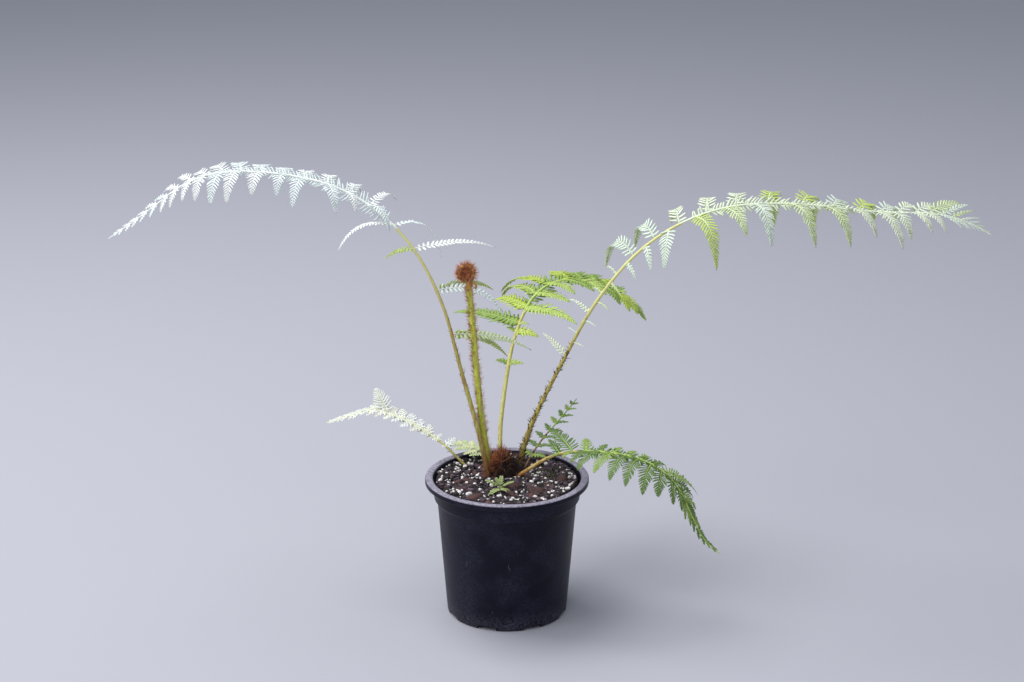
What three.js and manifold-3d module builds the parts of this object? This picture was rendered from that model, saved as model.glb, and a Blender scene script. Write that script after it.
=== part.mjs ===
// A young tree fern in a round black nursery pot: arching fronds, a furled frond and small
// low fronds rise from a hairy crown that sits in the potting mix.
// Millimetres, +Z up. The origin is the middle of the pot's flat underside.
// Seen along +Y, the tall fronds arch to -X and to +X.

import * as THREE from 'three';
import Module from 'manifold-3d';

const wasm = await Module();
wasm.setup();

// Driving sizes of the pot
const GAP = 0.3;
const RIM_RADIUS = 70;
const POT_HEIGHT = 122;
const LIP_WIDTH = 6.5;
const LIP_HEIGHT = 5;
const LIP_ROUND = 1.2;
const BAND_RADIUS = 62.4;
const BAND_HEIGHT = 18;
const BAND_STEP = 2.4;
const BAND_FLARE = 0.3;
const WALL = 1.5;
const WALL_TOP_RADIUS = 59.6;
const BASE_RADIUS = 51.6;
const CORNER_ROUND = 3;
const FLOOR = 1.6;
const INNER_FOOT_HEIGHT = 5;
const NOTCH_COUNT = 8;
const NOTCH_WIDTH = 17;
const NOTCH_DEPTH = 12;
const NOTCH_HEIGHT = 3.5;
const FIRST_NOTCH_DEG = -110;
const POT_SIDES = 48;

// Driving sizes of the potting mix, the crown and the furled frond
const SOIL_FOOT_HEIGHT = 6;
const SOIL_EDGE_HEIGHT = 114.5;
const SOIL_RISE = 3.5;
const SOIL_RINGS = 6;
const CROWN = { x: -3.5, y: 15, radius: 13.5, height: 20, sides: 12, rings: 8 };
const TUFTS = {
  count: 22, length: 7.8, spread: 0.23, radius: 1.7, tipRadius: 0.3, sides: 4,
  seat: 0.8, turnDeg: 137.5, lowestDeg: 20, riseDeg: 60, seed: 8,
};
const COIL = {
  turns: 1.9, radius: 8.4, tubeRadius: 2.5, swellSteps: 5, shrink: 0.1, seat: 2.9,
  startDeg: -68, facingDeg: 205, steps: 28, sides: 7,
};

// Driving sizes of a leaflet: shares are of its length, of its half width or of the pair spacing
const NOTCH_SHARE = 0.34;
const TOOTH_LEAN = 0.8;
const STALK_SHARE = 0.14;
const STALK_HALF_WIDTH = 0.7;
const THICKNESS_SHARE = 0.017;
const THIN_END_SHARE = 0.5;
const WIDTH_SHARE = 0.2;
const ROOT_WIDTH_SHARE = 0.75;
const TAPER_POWER = 0.8;
const SPACING_SHARE = 0.45;
const TOOTH_STEP = 12.5;
const FEWEST_TEETH = 2;
const MOST_TEETH = 5;
const LEAFLET_STEPS = 20;
const LEVEL_START = -0.15;
const LEVEL_END = 0.1;

// How leaflets vary from one to the next, and where the first and last pairs stand on the rib
const SCATTER = { forwardDeg: 5, length: 0.06, lift: 0.06, sag: 0.3 };
const LENGTH_SEED = 20;
const LIFT_SEED = 40;
const SAG_SEED = 60;
const FIRST_PAIR_SHARE = 0.012;
const LAST_PAIR_SHARE = 0.008;

// Seven fronds. Headings (degrees from +X towards +Y) and pitches (degrees above the level)
// are given at even stations from foot to tip, and the rib runs along them. bladeStart is the
// share of the length that stays bare, and places are the shares of the rest where the pairs
// of leaflets stand, read at even stations. stagger sets the left row on by a share of the
// spacing. The other lists run at even stations from the first pair to the last, for the left
// and the right row: lengths of the leaflets, forward, the angle between leaflet and rib, roll,
// which turns the row about the rib, lift, which raises a leaflet as it leaves the rib, and
// sag, which bends it to the ground. level turns the leaflets' own blades to the sky.
const FRONDS = [
  {
    name: 'left', x: -16, y: 8, length: 504, footRadius: 2.4, neckRadius: 1.5,
    headings: [140, 149, 152, 165, 169, 175, 181, 185, 190],
    pitches: [77, 71, 74.5, 60.5, 37, 12, 0, -38, -32],
    bladeStart: 0.241, splits: [0.45, 0.7], splitNames: ['rise', 'arch', 'tip'],
    pairs: 22, places: [0, 0.215, 0.355, 0.465, 0.562, 0.66, 0.742, 0.814, 0.876, 0.929, 0.973, 1],
    left: {
      lengths: [62, 52, 28, 62, 36, 24, 38, 36, 27, 31, 44, 40, 28, 24, 20, 17, 14, 12, 10, 8, 6, 4],
      forward: [
        106, 90, 80, 72, 145, 130, 122, 72, 70, 66, 70, 70, 64, 56, 48, 42, 37, 34, 32, 32, 32, 32,
      ],
      roll: [
        145, 130, -60, -50, -50, -42, -20, -10, 0, 0, -2, -5, -8, -12, -16, -20, -22, -23, -24,
        -24, -24, -24,
      ],
      lift: [
        -0.2, 0, 0.1, 0.3, 0.1, 0.1, 0.15, 0.2, 0.2, 0.2, 0.2, 0.2, 0.1, 0.1, 0, 0, 0, 0, 0, 0, 0,
        0,
      ],
      sag: [1, 1, 1, 2, 4, 4, 4, 5, 5.5, 6, 6, 6, 5, 3.5, 2.5, 1.5, 0.8, 0.4, 0.3, 0.3, 0.2, 0.2],
    },
    right: {
      lengths: [77, 70, 76, 67, 42, 38, 36, 34, 34, 34, 32, 30, 26, 23, 20, 17, 14, 12, 10, 8, 6, 4],
      forward: [
        95, 92, 82, 108, 80, 80, 80, 80, 80, 78, 72, 66, 60, 54, 48, 42, 36, 34, 32, 32, 32, 32,
      ],
      roll: [
        -50, -66, -66, -50, -50, -42, -20, -10, 0, 0, -2, -5, -8, -12, -16, -20, -22, -23, -24,
        -24, -24, -24,
      ],
      lift: [
        -0.2, -0.1, 0.1, 0.1, 0.15, 0.2, 0.2, 0.2, 0.2, 0.2, 0.2, 0.2, 0.2, 0.2, 0.15, 0.1, 0.1, 0,
        0, 0, 0, 0,
      ],
      sag: [
        0.6, 2.2, 0.6, 4.5, 2.5, 2.5, 2.5, 2.5, 2.5, 2.5, 2, 2, 1.5, 1.2, 1, 0.8, 0.6, 0.4, 0.3,
        0.2, 0.2, 0.2,
      ],
    },
    level: [0.45, 0.45, 0.7, 1, 0.86, 0.79, 0.64, 0.5, 0.36, 0.21, 0.07, 0, 0, 0, 0, 0, 0, 0, 0, 0, 0, 0], stagger: 0, seed: 1,
  },
  {
    name: 'right', x: 9, y: 26, length: 528, footRadius: 2.6, neckRadius: 1.6,
    headings: [23, 13, 6, 1, -2, -2, -5, -11, -15],
    pitches: [77, 63, 63, 51, 28, 3, -7, 4, -32],
    bladeStart: 0.18, splits: [0.455, 0.69], splitNames: ['rise', 'arch', 'tip'],
    pairs: 24, places: [0, 0.102, 0.196, 0.3, 0.416, 0.535, 0.672, 0.772, 0.842, 0.897, 0.938, 0.97, 1],
    left: {
      lengths: [
        30, 10, 24, 14, 16, 58, 48, 36, 44, 46, 60, 56, 44, 38, 34, 32, 32, 32, 28, 23, 17, 12, 8,
        5,
      ],
      forward: [
        70, 98, 98, 95, 95, 102, 95, 85, 80, 76, 70, 68, 66, 62, 58, 52, 44, 40, 36, 34, 34, 34,
        34, 34,
      ],
      roll: [50, 50, 30, 8, 5, 10, 20, 22],
      lift: [0.4, 0.5, 0.35, 0.4, 0.4, 0.35, 0.2, 0],
      sag: [0.3, 0.5, 1, 1.5, 2, 5, 6, 5, 6, 7, 9, 9, 7, 5, 4, 3, 2, 1, 0.6, 0.4, 0.3, 0.3, 0.3, 0.3],
    },
    right: {
      lengths: [
        10, 12, 14, 16, 18, 20, 26, 40, 56, 44, 52, 56, 50, 45, 50, 38, 34, 30, 27, 22, 17, 12, 8,
        5,
      ],
      forward: [
        85, 85, 90, 90, 95, 95, 105, 112, 62, 62, 62, 54, 50, 48, 50, 50, 46, 44, 40, 38, 36, 34,
        34, 34,
      ],
      roll: [50, 50, 30, 8, 5, 10, 20, 22],
      lift: [0.1, 0.1, 0.1, 0.15, 0.2, 0.2, 0.15, 0.1, 0],
      sag: [
        0.5, 0.5, 0.5, 0.5, 1, 1.5, 2, 3, 6, 3, 4, 3.5, 3, 2.5, 3, 3, 2, 1.5, 1, 0.6, 0.4, 0.3,
        0.3, 0.3,
      ],
    },
    level: [0.8, 0, 0, 0, 0, 0, 0], stagger: 0.4, seed: 2,
  },
  {
    name: 'back', x: -4, y: 22, length: 299, footRadius: 2.1, neckRadius: 1.7,
    headings: [106, 78, 73, 50, 27, 26, 26],
    pitches: [59, 58, 56, 48, -3, -35, -46],
    bladeStart: 0.31, splits: [0.6], splitNames: ['rise', 'arch'],
    pairs: 14, places: [
      0, 0.15, 0.19, 0.268, 0.352, 0.435, 0.515, 0.59, 0.666, 0.735, 0.8, 0.86, 0.912, 0.956, 1,
    ],
    left: {
      lengths: [13, 10, 68, 52, 62, 72, 46, 42, 42, 42, 38, 30, 22, 12],
      forward: [88, 88, 100, 80, 78, 95, 78, 72, 70, 68, 66, 64, 62, 60],
      roll: [0, 0],
      lift: [0.3, 0.3, 0.15, 0.15, 0.15, 0, 0.1, 0.15, 0.15, 0.15, 0.15, 0.15, 0.1, 0.1],
      sag: [0.5, 0.5, 0.4, 1.2, 1.4, 1.2, 1.2, 1.2, 1, 0.8, 0.7, 0.6, 0.5, 0.5],
    },
    right: {
      lengths: [13, 22, 10, 57, 36, 34, 34, 36, 38, 38, 34, 28, 20, 10],
      forward: [88, 92, 88, 95, 78, 75, 75, 75, 75, 74, 72, 70, 68, 66],
      roll: [0, 0],
      lift: [0.2, 0.1, 0.1, 0, 0, 0],
      sag: [0.5, 0.6, 0.8, 1.2, 2, 1.5],
    },
    level: [0, 0.2, 0.6, 0.7, 0.9, 1, 1, 0.95, 0.86, 0.77, 0.67, 0.55, 0.42, 0.3], stagger: 0, seed: 3,
  },
  {
    name: 'low_right', x: 8, y: 8, length: 226, footRadius: 1.7, neckRadius: 1.3,
    headings: [-31, -19, -15, -14, -14, -16, -22, -24, -16],
    pitches: [39, 37, 12, 0, -10, -36, -64, -62, -26],
    bladeStart: 0.2, splits: [0.58], splitNames: ['rise', 'tip'],
    pairs: 18, places: [0, 0.243, 0.472, 0.682, 0.866, 1],
    left: {
      lengths: [20, 46, 22, 16, 15, 15, 16, 20, 48, 34, 26, 20, 16, 13, 11, 9, 7, 5],
      forward: [130, 132, 105, 76, 68, 62, 58, 54, 46, 40, 34, 30, 28, 26, 25, 25, 25, 25],
      roll: [0, 0, 5, 10, 10],
      lift: [0.4, 0.3, 0, 0, 0, 0],
      sag: [0.4, 0.6, 1, 1, 0.2, 0.3],
    },
    right: {
      lengths: [10, 16, 24, 32, 34, 38, 38, 34, 28, 24, 20, 17, 14, 12, 10, 8, 6, 5],
      forward: [115, 115, 114, 114, 112, 108, 104, 96, 84, 60, 42, 34, 30, 28, 26, 25, 25, 25],
      roll: [0, 0, 5, 10, 10],
      lift: [0.1, 0.1, 0.1, 0, 0, 0],
      sag: [0.5, 1.5, 2.5, 2, 0.5, 0.3],
    },
    level: [0.8, 0.4, 0, 0, 0], stagger: 0, seed: 4,
  },
  {
    name: 'low_left', x: -33, y: 31, length: 147, footRadius: 1.3, neckRadius: 1,
    headings: [167, 156, 160, 164, 170, 175],
    pitches: [50, 34, 24, 14, -21, -23],
    bladeStart: 0.18, splits: [], splitNames: ['blade'],
    pairs: 16, places: [0, 0.252, 0.485, 0.696, 0.877, 1],
    left: {
      lengths: [4, 6, 9, 11, 12, 12, 12, 12, 12, 11, 10, 9, 8, 6, 5, 4],
      forward: [50, 45, 42, 38, 35],
      roll: [-10, -10],
      lift: [0.1, 0.1, 0, 0],
      sag: [0.5, 1, 1, 0.3],
    },
    right: {
      lengths: [11, 7, 10, 11, 12, 12, 12, 23, 11, 10, 9, 8, 7, 6, 5, 4],
      forward: [128, 90, 64, 60, 60, 58, 54, 30, 40, 36, 35, 35, 35, 35, 35, 35],
      roll: [-10, -10],
      lift: [0.9, 0.4, 0.5, 0.4, 0.4, 0.4, 0.3, 1, 0.1, 0, 0, 0, 0, 0, 0, 0],
      sag: [0.3, 0.4, 0.3, 0.2],
    },
    level: [0.2, 0.2, 0, 0], stagger: 0, seed: 5,
  },
  {
    name: 'small_right', x: 15, y: 31, length: 84, footRadius: 1.1, neckRadius: 0.8,
    headings: [58, 44, 46],
    pitches: [43, 30, 33],
    bladeStart: 0.16, splits: [], splitNames: ['blade'],
    pairs: 8, places: [0, 0.292, 0.565, 0.811, 1],
    left: {
      lengths: [17, 14, 13, 11, 6],
      forward: [75, 50],
      roll: [0, 0],
      lift: [0.15, 0.1],
      sag: [0.4, 0.3],
    },
    right: {
      lengths: [17, 12, 13, 10, 6],
      forward: [75, 50],
      roll: [0, 0],
      lift: [0.15, 0.1],
      sag: [0.8, 0.3],
    },
    level: [0.4, 0.5], stagger: 0, seed: 6,
  },
  {
    name: 'small_left', x: -13, y: 34, length: 52, footRadius: 0.9, neckRadius: 0.7,
    headings: [130, 150, 165],
    pitches: [48, 12, -5],
    bladeStart: 0.3, splits: [], splitNames: ['blade'],
    pairs: 7, places: [0, 0.271, 0.533, 0.782, 1],
    left: {
      lengths: [14, 15, 12, 5],
      forward: [75, 50],
      roll: [0, 0],
      lift: [0.1, 0.1],
      sag: [0.4, 0.3],
    },
    right: {
      lengths: [14, 15, 12, 5],
      forward: [75, 50],
      roll: [0, 0],
      lift: [0.1, 0.1],
      sag: [0.4, 0.3],
    },
    level: [0.5, 0.2], stagger: 0, seed: 7,
  },
];

// The furled frond's stalk, in the fronds' way of giving a rib
const CROZIER = {
  name: 'crozier', x: -13.5, y: 20, length: 170.5, footRadius: 2.8, neckRadius: 2.5,
  headings: [180, 180], pitches: [78, 84, 86, 84],
};

// A seedling's leaves, as headings and lengths, on a stub in front of the crown
const SEEDLING = {
  x: -5.8, y: -21.5, stubRadius: 1, stubHeight: 4, stubSides: 6,
  headings: [172, 78, -6, 236, -52, 125], lengths: [12.5, 9, 12, 10, 9, 8],
  pitch: 20, widthShare: 0.36, teeth: 2, sag: 0.4,
};

// How ribs and stalks are drawn: every rib is walked in even steps, and tubes have few sides
const SPINE_STEPS = 120;
const TANGENT_SHARE = 0.01;
const STIPE_STEPS = 8;
const STALK_STEPS = 14;
const STIPE_SIDES = 7;
const RIB_STEP = 12;
const FEWEST_RIB_STEPS = 6;
const RIB_SIDES = 5;
const TIP_RADIUS = 0.4;
const ROOT_SINK = 4;
const FOOT_GAP = 0.45;
const END_GAP = 0.22;
const BORE = { gap: 0.4, steps: 10, sides: 10, stalkShare: 0.6 };
const UP = new THREE.Vector3(0, 0, 1);

const radians = THREE.MathUtils.degToRad;
const mix = THREE.MathUtils.lerp;

// A finish for each material that the plant and its pot are made of
function finish(color, roughness) {
  return new THREE.MeshStandardMaterial({ color, roughness, metalness: 0 });
}
const POT_FINISH = finish(0x17181c, 0.5);
const SOIL_FINISH = finish(0x2b211d, 0.95);
const HAIR_FINISH = finish(0x7a3d20, 0.9);
const STIPE_FINISH = finish(0x8f8a2e, 0.6);
const FROND_FINISH = finish(0x7fa35a, 0.6);

const fern = new THREE.Group();

function addMesh(name, geometry, material) {
  const mesh = new THREE.Mesh(geometry, material);
  mesh.name = name;
  fern.add(mesh);
}

// A number from -1 to 1 that depends only on the seed and the index
function scatter(seed, index) {
  const wave = Math.sin(seed * 127.1 + index * 311.7) * 43758.5453;
  return (wave - Math.floor(wave)) * 2 - 1;
}

// Solids are kept as points and triangles until they are joined or cut
function solid(points, triangles) {
  const vertProperties = new Float32Array(points.flatMap((point) => point.toArray()));
  const triVerts = new Uint32Array(triangles.flat());
  return new wasm.Manifold(new wasm.Mesh({ numProp: 3, vertProperties, triVerts }));
}

// A closed three.js geometry as a solid: points that fall together are merged
function solidFromGeometry(geometry) {
  const positions = geometry.getAttribute('position');
  const order = geometry.getIndex() ? [...geometry.getIndex().array] : [...Array(positions.count).keys()];
  const found = new Map();
  const points = [];
  const merged = order.map((source) => {
    const point = new THREE.Vector3().fromBufferAttribute(positions, source);
    const key = point.toArray().map((value) => Math.round(value * 1e4)).join();
    if (!found.has(key)) {
      found.set(key, points.length);
      points.push(point);
    }
    return found.get(key);
  });
  const triangles = [];
  for (let start = 0; start < merged.length; start += 3) {
    const triangle = merged.slice(start, start + 3);
    if (new Set(triangle).size === 3) triangles.push(triangle);
  }
  return solid(points, triangles);
}

// The largest piece of a solid as a geometry: loose scraps are dropped
function geometryOf(manifold) {
  const pieces = manifold.decompose().sort((one, other) => other.volume() - one.volume());
  const mesh = pieces[0].getMesh();
  const geometry = new THREE.BufferGeometry();
  geometry.setAttribute('position', new THREE.BufferAttribute(new Float32Array(mesh.vertProperties), 3));
  geometry.setIndex(new THREE.BufferAttribute(new Uint32Array(mesh.triVerts), 1));
  geometry.computeVertexNormals();
  return geometry;
}

// A round body about +Z from a profile of [radius, height] pairs that starts and ends on the axis
function turned(profile, sides) {
  const outline = profile.map(([radius, height]) => new THREE.Vector2(radius, height));
  return solidFromGeometry(new THREE.LatheGeometry(outline, sides).rotateX(Math.PI / 2));
}

// A tube round a path with its own radius at each point and flat ends
function taperedTube(path, radii, sides) {
  const points = [];
  const triangles = [];
  let across = new THREE.Vector3(0, 1, 0);
  path.forEach((centre, ring) => {
    const before = path[Math.max(ring - 1, 0)];
    const after = path[Math.min(ring + 1, path.length - 1)];
    const along = after.clone().sub(before).normalize();
    across = across.clone().addScaledVector(along, -across.dot(along)).normalize();
    const third = along.clone().cross(across);
    for (let side = 0; side < sides; side += 1) {
      const angle = (2 * Math.PI * side) / sides;
      points.push(centre.clone()
        .addScaledVector(across, radii[ring] * Math.cos(angle))
        .addScaledVector(third, radii[ring] * Math.sin(angle)));
    }
  });
  for (let ring = 0; ring < path.length - 1; ring += 1) {
    for (let side = 0; side < sides; side += 1) {
      const near = ring * sides + side;
      const next = ring * sides + ((side + 1) % sides);
      triangles.push([near, next, near + sides], [next, next + sides, near + sides]);
    }
  }
  const last = (path.length - 1) * sides;
  for (let side = 1; side < sides - 1; side += 1) {
    triangles.push([0, side + 1, side], [last, last + side, last + side + 1]);
  }
  return solid(points, triangles);
}

// Height of the potting mix: a low mound that meets the wall at the edge height
function soilHeight(x, y) {
  const share = Math.min(Math.hypot(x, y) / BAND_RADIUS, 1);
  return SOIL_EDGE_HEIGHT + SOIL_RISE * Math.cos((share * Math.PI) / 2) ** 2;
}

// A value read off evenly spaced stations
function atStations(stations, share) {
  const place = THREE.MathUtils.clamp(share, 0, 1) * (stations.length - 1);
  const first = Math.min(Math.floor(place), stations.length - 2);
  return mix(stations[first], stations[first + 1], place - first);
}

function direction(headingDeg, pitchDeg) {
  const heading = radians(headingDeg);
  const pitch = radians(pitchDeg);
  return new THREE.Vector3(
    Math.cos(pitch) * Math.cos(heading), Math.cos(pitch) * Math.sin(heading), Math.sin(pitch));
}

// The rib of a frond: points from foot to tip, found by walking along its directions
function ribOf(frond) {
  const step = frond.length / SPINE_STEPS;
  const points = [new THREE.Vector3(frond.x, frond.y, soilHeight(frond.x, frond.y))];
  for (let index = 0; index < SPINE_STEPS; index += 1) {
    const share = (index + 0.5) / SPINE_STEPS;
    const along = direction(atStations(frond.headings, share), atStations(frond.pitches, share));
    points.push(points[index].clone().addScaledVector(along, step));
  }
  return points;
}

function pointOnRib(rib, share) {
  const place = THREE.MathUtils.clamp(share, 0, 1) * SPINE_STEPS;
  const first = Math.min(Math.floor(place), SPINE_STEPS - 1);
  return rib[first].clone().lerp(rib[first + 1], place - first);
}

// Rib radius: from foot to neck along the bare stipe, then on to the thin tip
function radiusOnRib(frond, share) {
  const bare = frond.bladeStart ?? 1;
  if (share <= bare) return mix(frond.footRadius, frond.neckRadius, share / bare);
  return mix(frond.neckRadius, TIP_RADIUS, (share - bare) / (1 - bare));
}

// A length of rib between two shares, its ends drawn back where it meets another piece
function ribTube(frond, rib, from, to, steps, sides) {
  const start = from + (from > 0 ? END_GAP / frond.length : 0);
  const end = to - (to < 1 ? END_GAP / frond.length : 0);
  const shares = Array.from({ length: steps + 1 }, (unused, index) => mix(start, end, index / steps));
  const path = shares.map((share) => pointOnRib(rib, share));
  const radii = shares.map((share) => radiusOnRib(frond, share));
  if (from === 0) {
    const down = path[0].clone().sub(path[1]).setLength(ROOT_SINK);
    path.unshift(path[0].clone().add(down));
    radii.unshift(radii[0]);
  }
  return taperedTube(path, radii, sides);
}

// What is left of a direction square to another, at length 1
function squareTo(vector, along) {
  return vector.clone().addScaledVector(along, -vector.dot(along)).normalize();
}

// One leaflet: a thin blade with a ridge along its rib, toothed on both edges.
// The rib leaves root along start and turns to the ground by sag times the share squared, and
// the blade turns from widthways to the level by the share level.
function leaflet({ root, start, widthways, length, halfWidth, teeth, sag, level }) {
  const alongAt = (share) => start.clone().addScaledVector(UP, -sag * share ** 2).normalize();
  const ribPoints = [root.clone()];
  const place = root.clone();
  for (let step = 0; step < LEAFLET_STEPS; step += 1) {
    place.addScaledVector(alongAt(step / LEAFLET_STEPS), length / LEAFLET_STEPS);
    const passed = Math.floor(((step + 1) * teeth) / LEAFLET_STEPS);
    if (passed === ribPoints.length) ribPoints.push(place.clone());
  }
  const blade = squareTo(widthways, start);
  const sky = squareTo(UP.clone().cross(start), start);
  const frames = Array.from({ length: teeth + 1 }, (unused, index) => {
    const share = index / teeth;
    const along = alongAt(share);
    const turned = level * THREE.MathUtils.smoothstep(share, LEVEL_START, LEVEL_END);
    const wide = squareTo(blade.clone().lerp(sky, turned), along);
    return { along, wide, normal: along.clone().cross(wide) };
  });
  const points = [];
  const add = (point) => points.push(point) - 1;
  const thickness = THICKNESS_SHARE * length;
  const upper = [];
  const lower = [];
  for (let index = 0; index < teeth; index += 1) {
    const half = (thickness / 2) * (1 - (1 - THIN_END_SHARE) * (index / teeth));
    upper.push(add(ribPoints[index].clone().addScaledVector(frames[index].normal, half)));
    lower.push(add(ribPoints[index].clone().addScaledVector(frames[index].normal, -half)));
  }
  const apex = add(ribPoints[teeth]);
  upper.push(apex);
  lower.push(apex);
  const bladeWidth = (share) => (
    halfWidth * (1 - share) ** TAPER_POWER * Math.min(1, ROOT_WIDTH_SHARE + share)
  );
  const triangles = [];
  const rootEdge = [];
  for (const side of [1, -1]) {
    const notches = [];
    const tips = [];
    for (let index = 0; index < teeth; index += 1) {
      const notchWidth = index === 0
        ? Math.min(STALK_HALF_WIDTH, STALK_SHARE * halfWidth)
        : NOTCH_SHARE * bladeWidth(index / teeth);
      const { along, wide } = frames[index];
      const step = length / teeth;
      notches.push(add(ribPoints[index].clone().addScaledVector(wide, side * notchWidth)));
      tips.push(add(ribPoints[index].clone().addScaledVector(along, step * TOOTH_LEAN)
        .addScaledVector(wide, side * bladeWidth((index + TOOTH_LEAN / 2) / teeth))));
    }
    notches.push(apex);
    rootEdge.push(notches[0]);
    const face = (one, two, three) => triangles.push(side > 0 ? [one, two, three] : [one, three, two]);
    for (let index = 0; index < teeth; index += 1) {
      const last = index === teeth - 1;
      face(upper[index], tips[index], notches[index]);
      face(upper[index], upper[index + 1], tips[index]);
      face(lower[index], notches[index], tips[index]);
      face(lower[index], tips[index], lower[index + 1]);
      if (!last) {
        face(upper[index + 1], notches[index + 1], tips[index]);
        face(lower[index + 1], tips[index], notches[index + 1]);
      }
    }
  }
  triangles.push([upper[0], rootEdge[0], lower[0]], [upper[0], lower[0], rootEdge[1]]);
  return solid(points, triangles);
}

// Where the leaflet pairs sit on a frond, as shares of its length, closer towards the tip
function pairShares(frond) {
  return Array.from({ length: frond.pairs }, (unused, pair) => {
    const along = atStations(frond.places, pair / frond.pairs);
    return mix(frond.bladeStart + FIRST_PAIR_SHARE, 1 - LAST_PAIR_SHARE, along);
  });
}

// Every leaflet of a frond: two to a pair, one on each side of the rib
function leafletsOf(frond, rib) {
  const shares = pairShares(frond);
  const leaflets = [];
  shares.forEach((pairShare, pair) => {
    const gap = (shares[pair + 1] ?? 1) - pairShare;
    const step = pair / (frond.pairs - 1);
    for (const side of [1, -1]) {
      const row = side > 0 ? frond.left : frond.right;
      const share = pairShare + (side > 0 ? frond.stagger * gap : 0);
      const draw = 2 * pair + (side > 0 ? 0 : 1);
      const tangent = pointOnRib(rib, share + TANGENT_SHARE)
        .sub(pointOnRib(rib, share - TANGENT_SHARE)).normalize();
      const beside = new THREE.Vector3(-tangent.y, tangent.x, 0).normalize();
      const rolled = beside.applyAxisAngle(tangent, radians(atStations(row.roll, step)));
      const turn = SCATTER.forwardDeg * scatter(frond.seed, draw);
      const forward = radians(atStations(row.forward, step) + turn);
      const stretch = 1 + SCATTER.length * scatter(frond.seed + LENGTH_SEED, draw);
      const length = atStations(row.lengths, step) * stretch;
      const lift = atStations(row.lift, step) + SCATTER.lift * scatter(frond.seed + LIFT_SEED, draw);
      const level = atStations(frond.level, step);
      const out = tangent.clone().multiplyScalar(Math.cos(forward))
        .addScaledVector(rolled, side * Math.sin(forward));
      leaflets.push({
        share,
        root: pointOnRib(rib, share),
        start: out.clone().addScaledVector(UP, lift - level * out.z).normalize(),
        widthways: tangent.clone().multiplyScalar(-side),
        length,
        halfWidth: Math.min(WIDTH_SHARE * length, SPACING_SHARE * gap * frond.length),
        teeth: THREE.MathUtils.clamp(Math.round(length / TOOTH_STEP), FEWEST_TEETH, MOST_TEETH),
        sag: atStations(row.sag, step) * (1 + SCATTER.sag * scatter(frond.seed + SAG_SEED, draw)),
        level,
      });
    }
  });
  return leaflets;
}

// Pot: a turned thin wall with a band and a rolled lip, and drain notches round its foot
function buildPot() {
  const bandFoot = POT_HEIGHT - BAND_HEIGHT;
  const lipFoot = POT_HEIGHT - LIP_HEIGHT;
  const lipInner = RIM_RADIUS - LIP_WIDTH;
  const corner = CORNER_ROUND * (1 - Math.SQRT1_2);
  const profile = [
    [0, 0],
    [BASE_RADIUS - CORNER_ROUND, 0],
    [BASE_RADIUS - corner, corner],
    [BASE_RADIUS, CORNER_ROUND],
    [WALL_TOP_RADIUS, bandFoot - BAND_STEP],
    [BAND_RADIUS, bandFoot],
    [BAND_RADIUS + BAND_FLARE, lipFoot],
    [RIM_RADIUS - LIP_ROUND, lipFoot],
    [RIM_RADIUS, lipFoot + LIP_ROUND],
    [RIM_RADIUS, POT_HEIGHT - LIP_ROUND],
    [RIM_RADIUS - LIP_ROUND, POT_HEIGHT],
    [lipInner + LIP_ROUND, POT_HEIGHT],
    [lipInner, POT_HEIGHT - LIP_ROUND],
    [BAND_RADIUS - WALL, lipFoot - LIP_ROUND],
    [BAND_RADIUS - WALL, bandFoot],
    [WALL_TOP_RADIUS - WALL, bandFoot - BAND_STEP],
    [BASE_RADIUS - WALL, INNER_FOOT_HEIGHT],
    [BASE_RADIUS - WALL - CORNER_ROUND / 2, FLOOR],
    [0, FLOOR],
  ];
  let pot = turned(profile, POT_SIDES);
  for (let notch = 0; notch < NOTCH_COUNT; notch += 1) {
    const block = new THREE.BoxGeometry(2 * NOTCH_DEPTH, NOTCH_WIDTH, 2 * NOTCH_HEIGHT);
    block.translate(BASE_RADIUS, 0, 0);
    block.rotateZ(radians(FIRST_NOTCH_DEG + (360 * notch) / NOTCH_COUNT));
    pot = pot.subtract(solidFromGeometry(block));
  }
  addMesh('pot', geometryOf(pot), POT_FINISH);
}

// Potting mix: fills the pot up to its low mound, a gap clear of the wall
function buildSoil() {
  const bandFoot = POT_HEIGHT - BAND_HEIGHT;
  const profile = [
    [0, FLOOR + GAP],
    [BASE_RADIUS - WALL - CORNER_ROUND, FLOOR + GAP],
    [BASE_RADIUS - WALL - 2 * GAP, SOIL_FOOT_HEIGHT],
    [WALL_TOP_RADIUS - WALL - 2 * GAP, bandFoot - BAND_STEP],
    [BAND_RADIUS - WALL - 2 * GAP, bandFoot + BAND_STEP],
  ];
  const edge = BAND_RADIUS - WALL - 2 * GAP;
  for (let ring = SOIL_RINGS; ring >= 0; ring -= 1) {
    const radius = (edge * ring) / SOIL_RINGS;
    profile.push([radius, soilHeight(radius, 0)]);
  }
  addMesh('soil', geometryOf(turned(profile, POT_SIDES / 2)), SOIL_FINISH);
}

// Frond: a bare stipe and one to three lengths of blade, split where the frond bends
function buildFrond(frond) {
  const rib = ribOf(frond);
  const ground = soilHeight(frond.x, frond.y) + FOOT_GAP;
  const stipe = ribTube(frond, rib, 0, frond.bladeStart, STIPE_STEPS, STIPE_SIDES);
  addMesh(`stipe_${frond.name}`, geometryOf(stipe.trimByPlane([0, 0, 1], ground)), STIPE_FINISH);
  const leaflets = leafletsOf(frond, rib);
  const bounds = [frond.bladeStart, ...frond.splits, 1];
  frond.splitNames.forEach((part, index) => {
    const [from, to] = [bounds[index], bounds[index + 1]];
    const steps = Math.max(FEWEST_RIB_STEPS, Math.round(((to - from) * frond.length) / RIB_STEP));
    const blade = leaflets
      .filter((each) => each.share >= from && each.share < to)
      .reduce((whole, each) => whole.add(leaflet(each)), ribTube(frond, rib, from, to, steps, RIB_SIDES));
    addMesh(`frond_${frond.name}_${part}`, geometryOf(blade), FROND_FINISH);
  });
}

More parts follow.
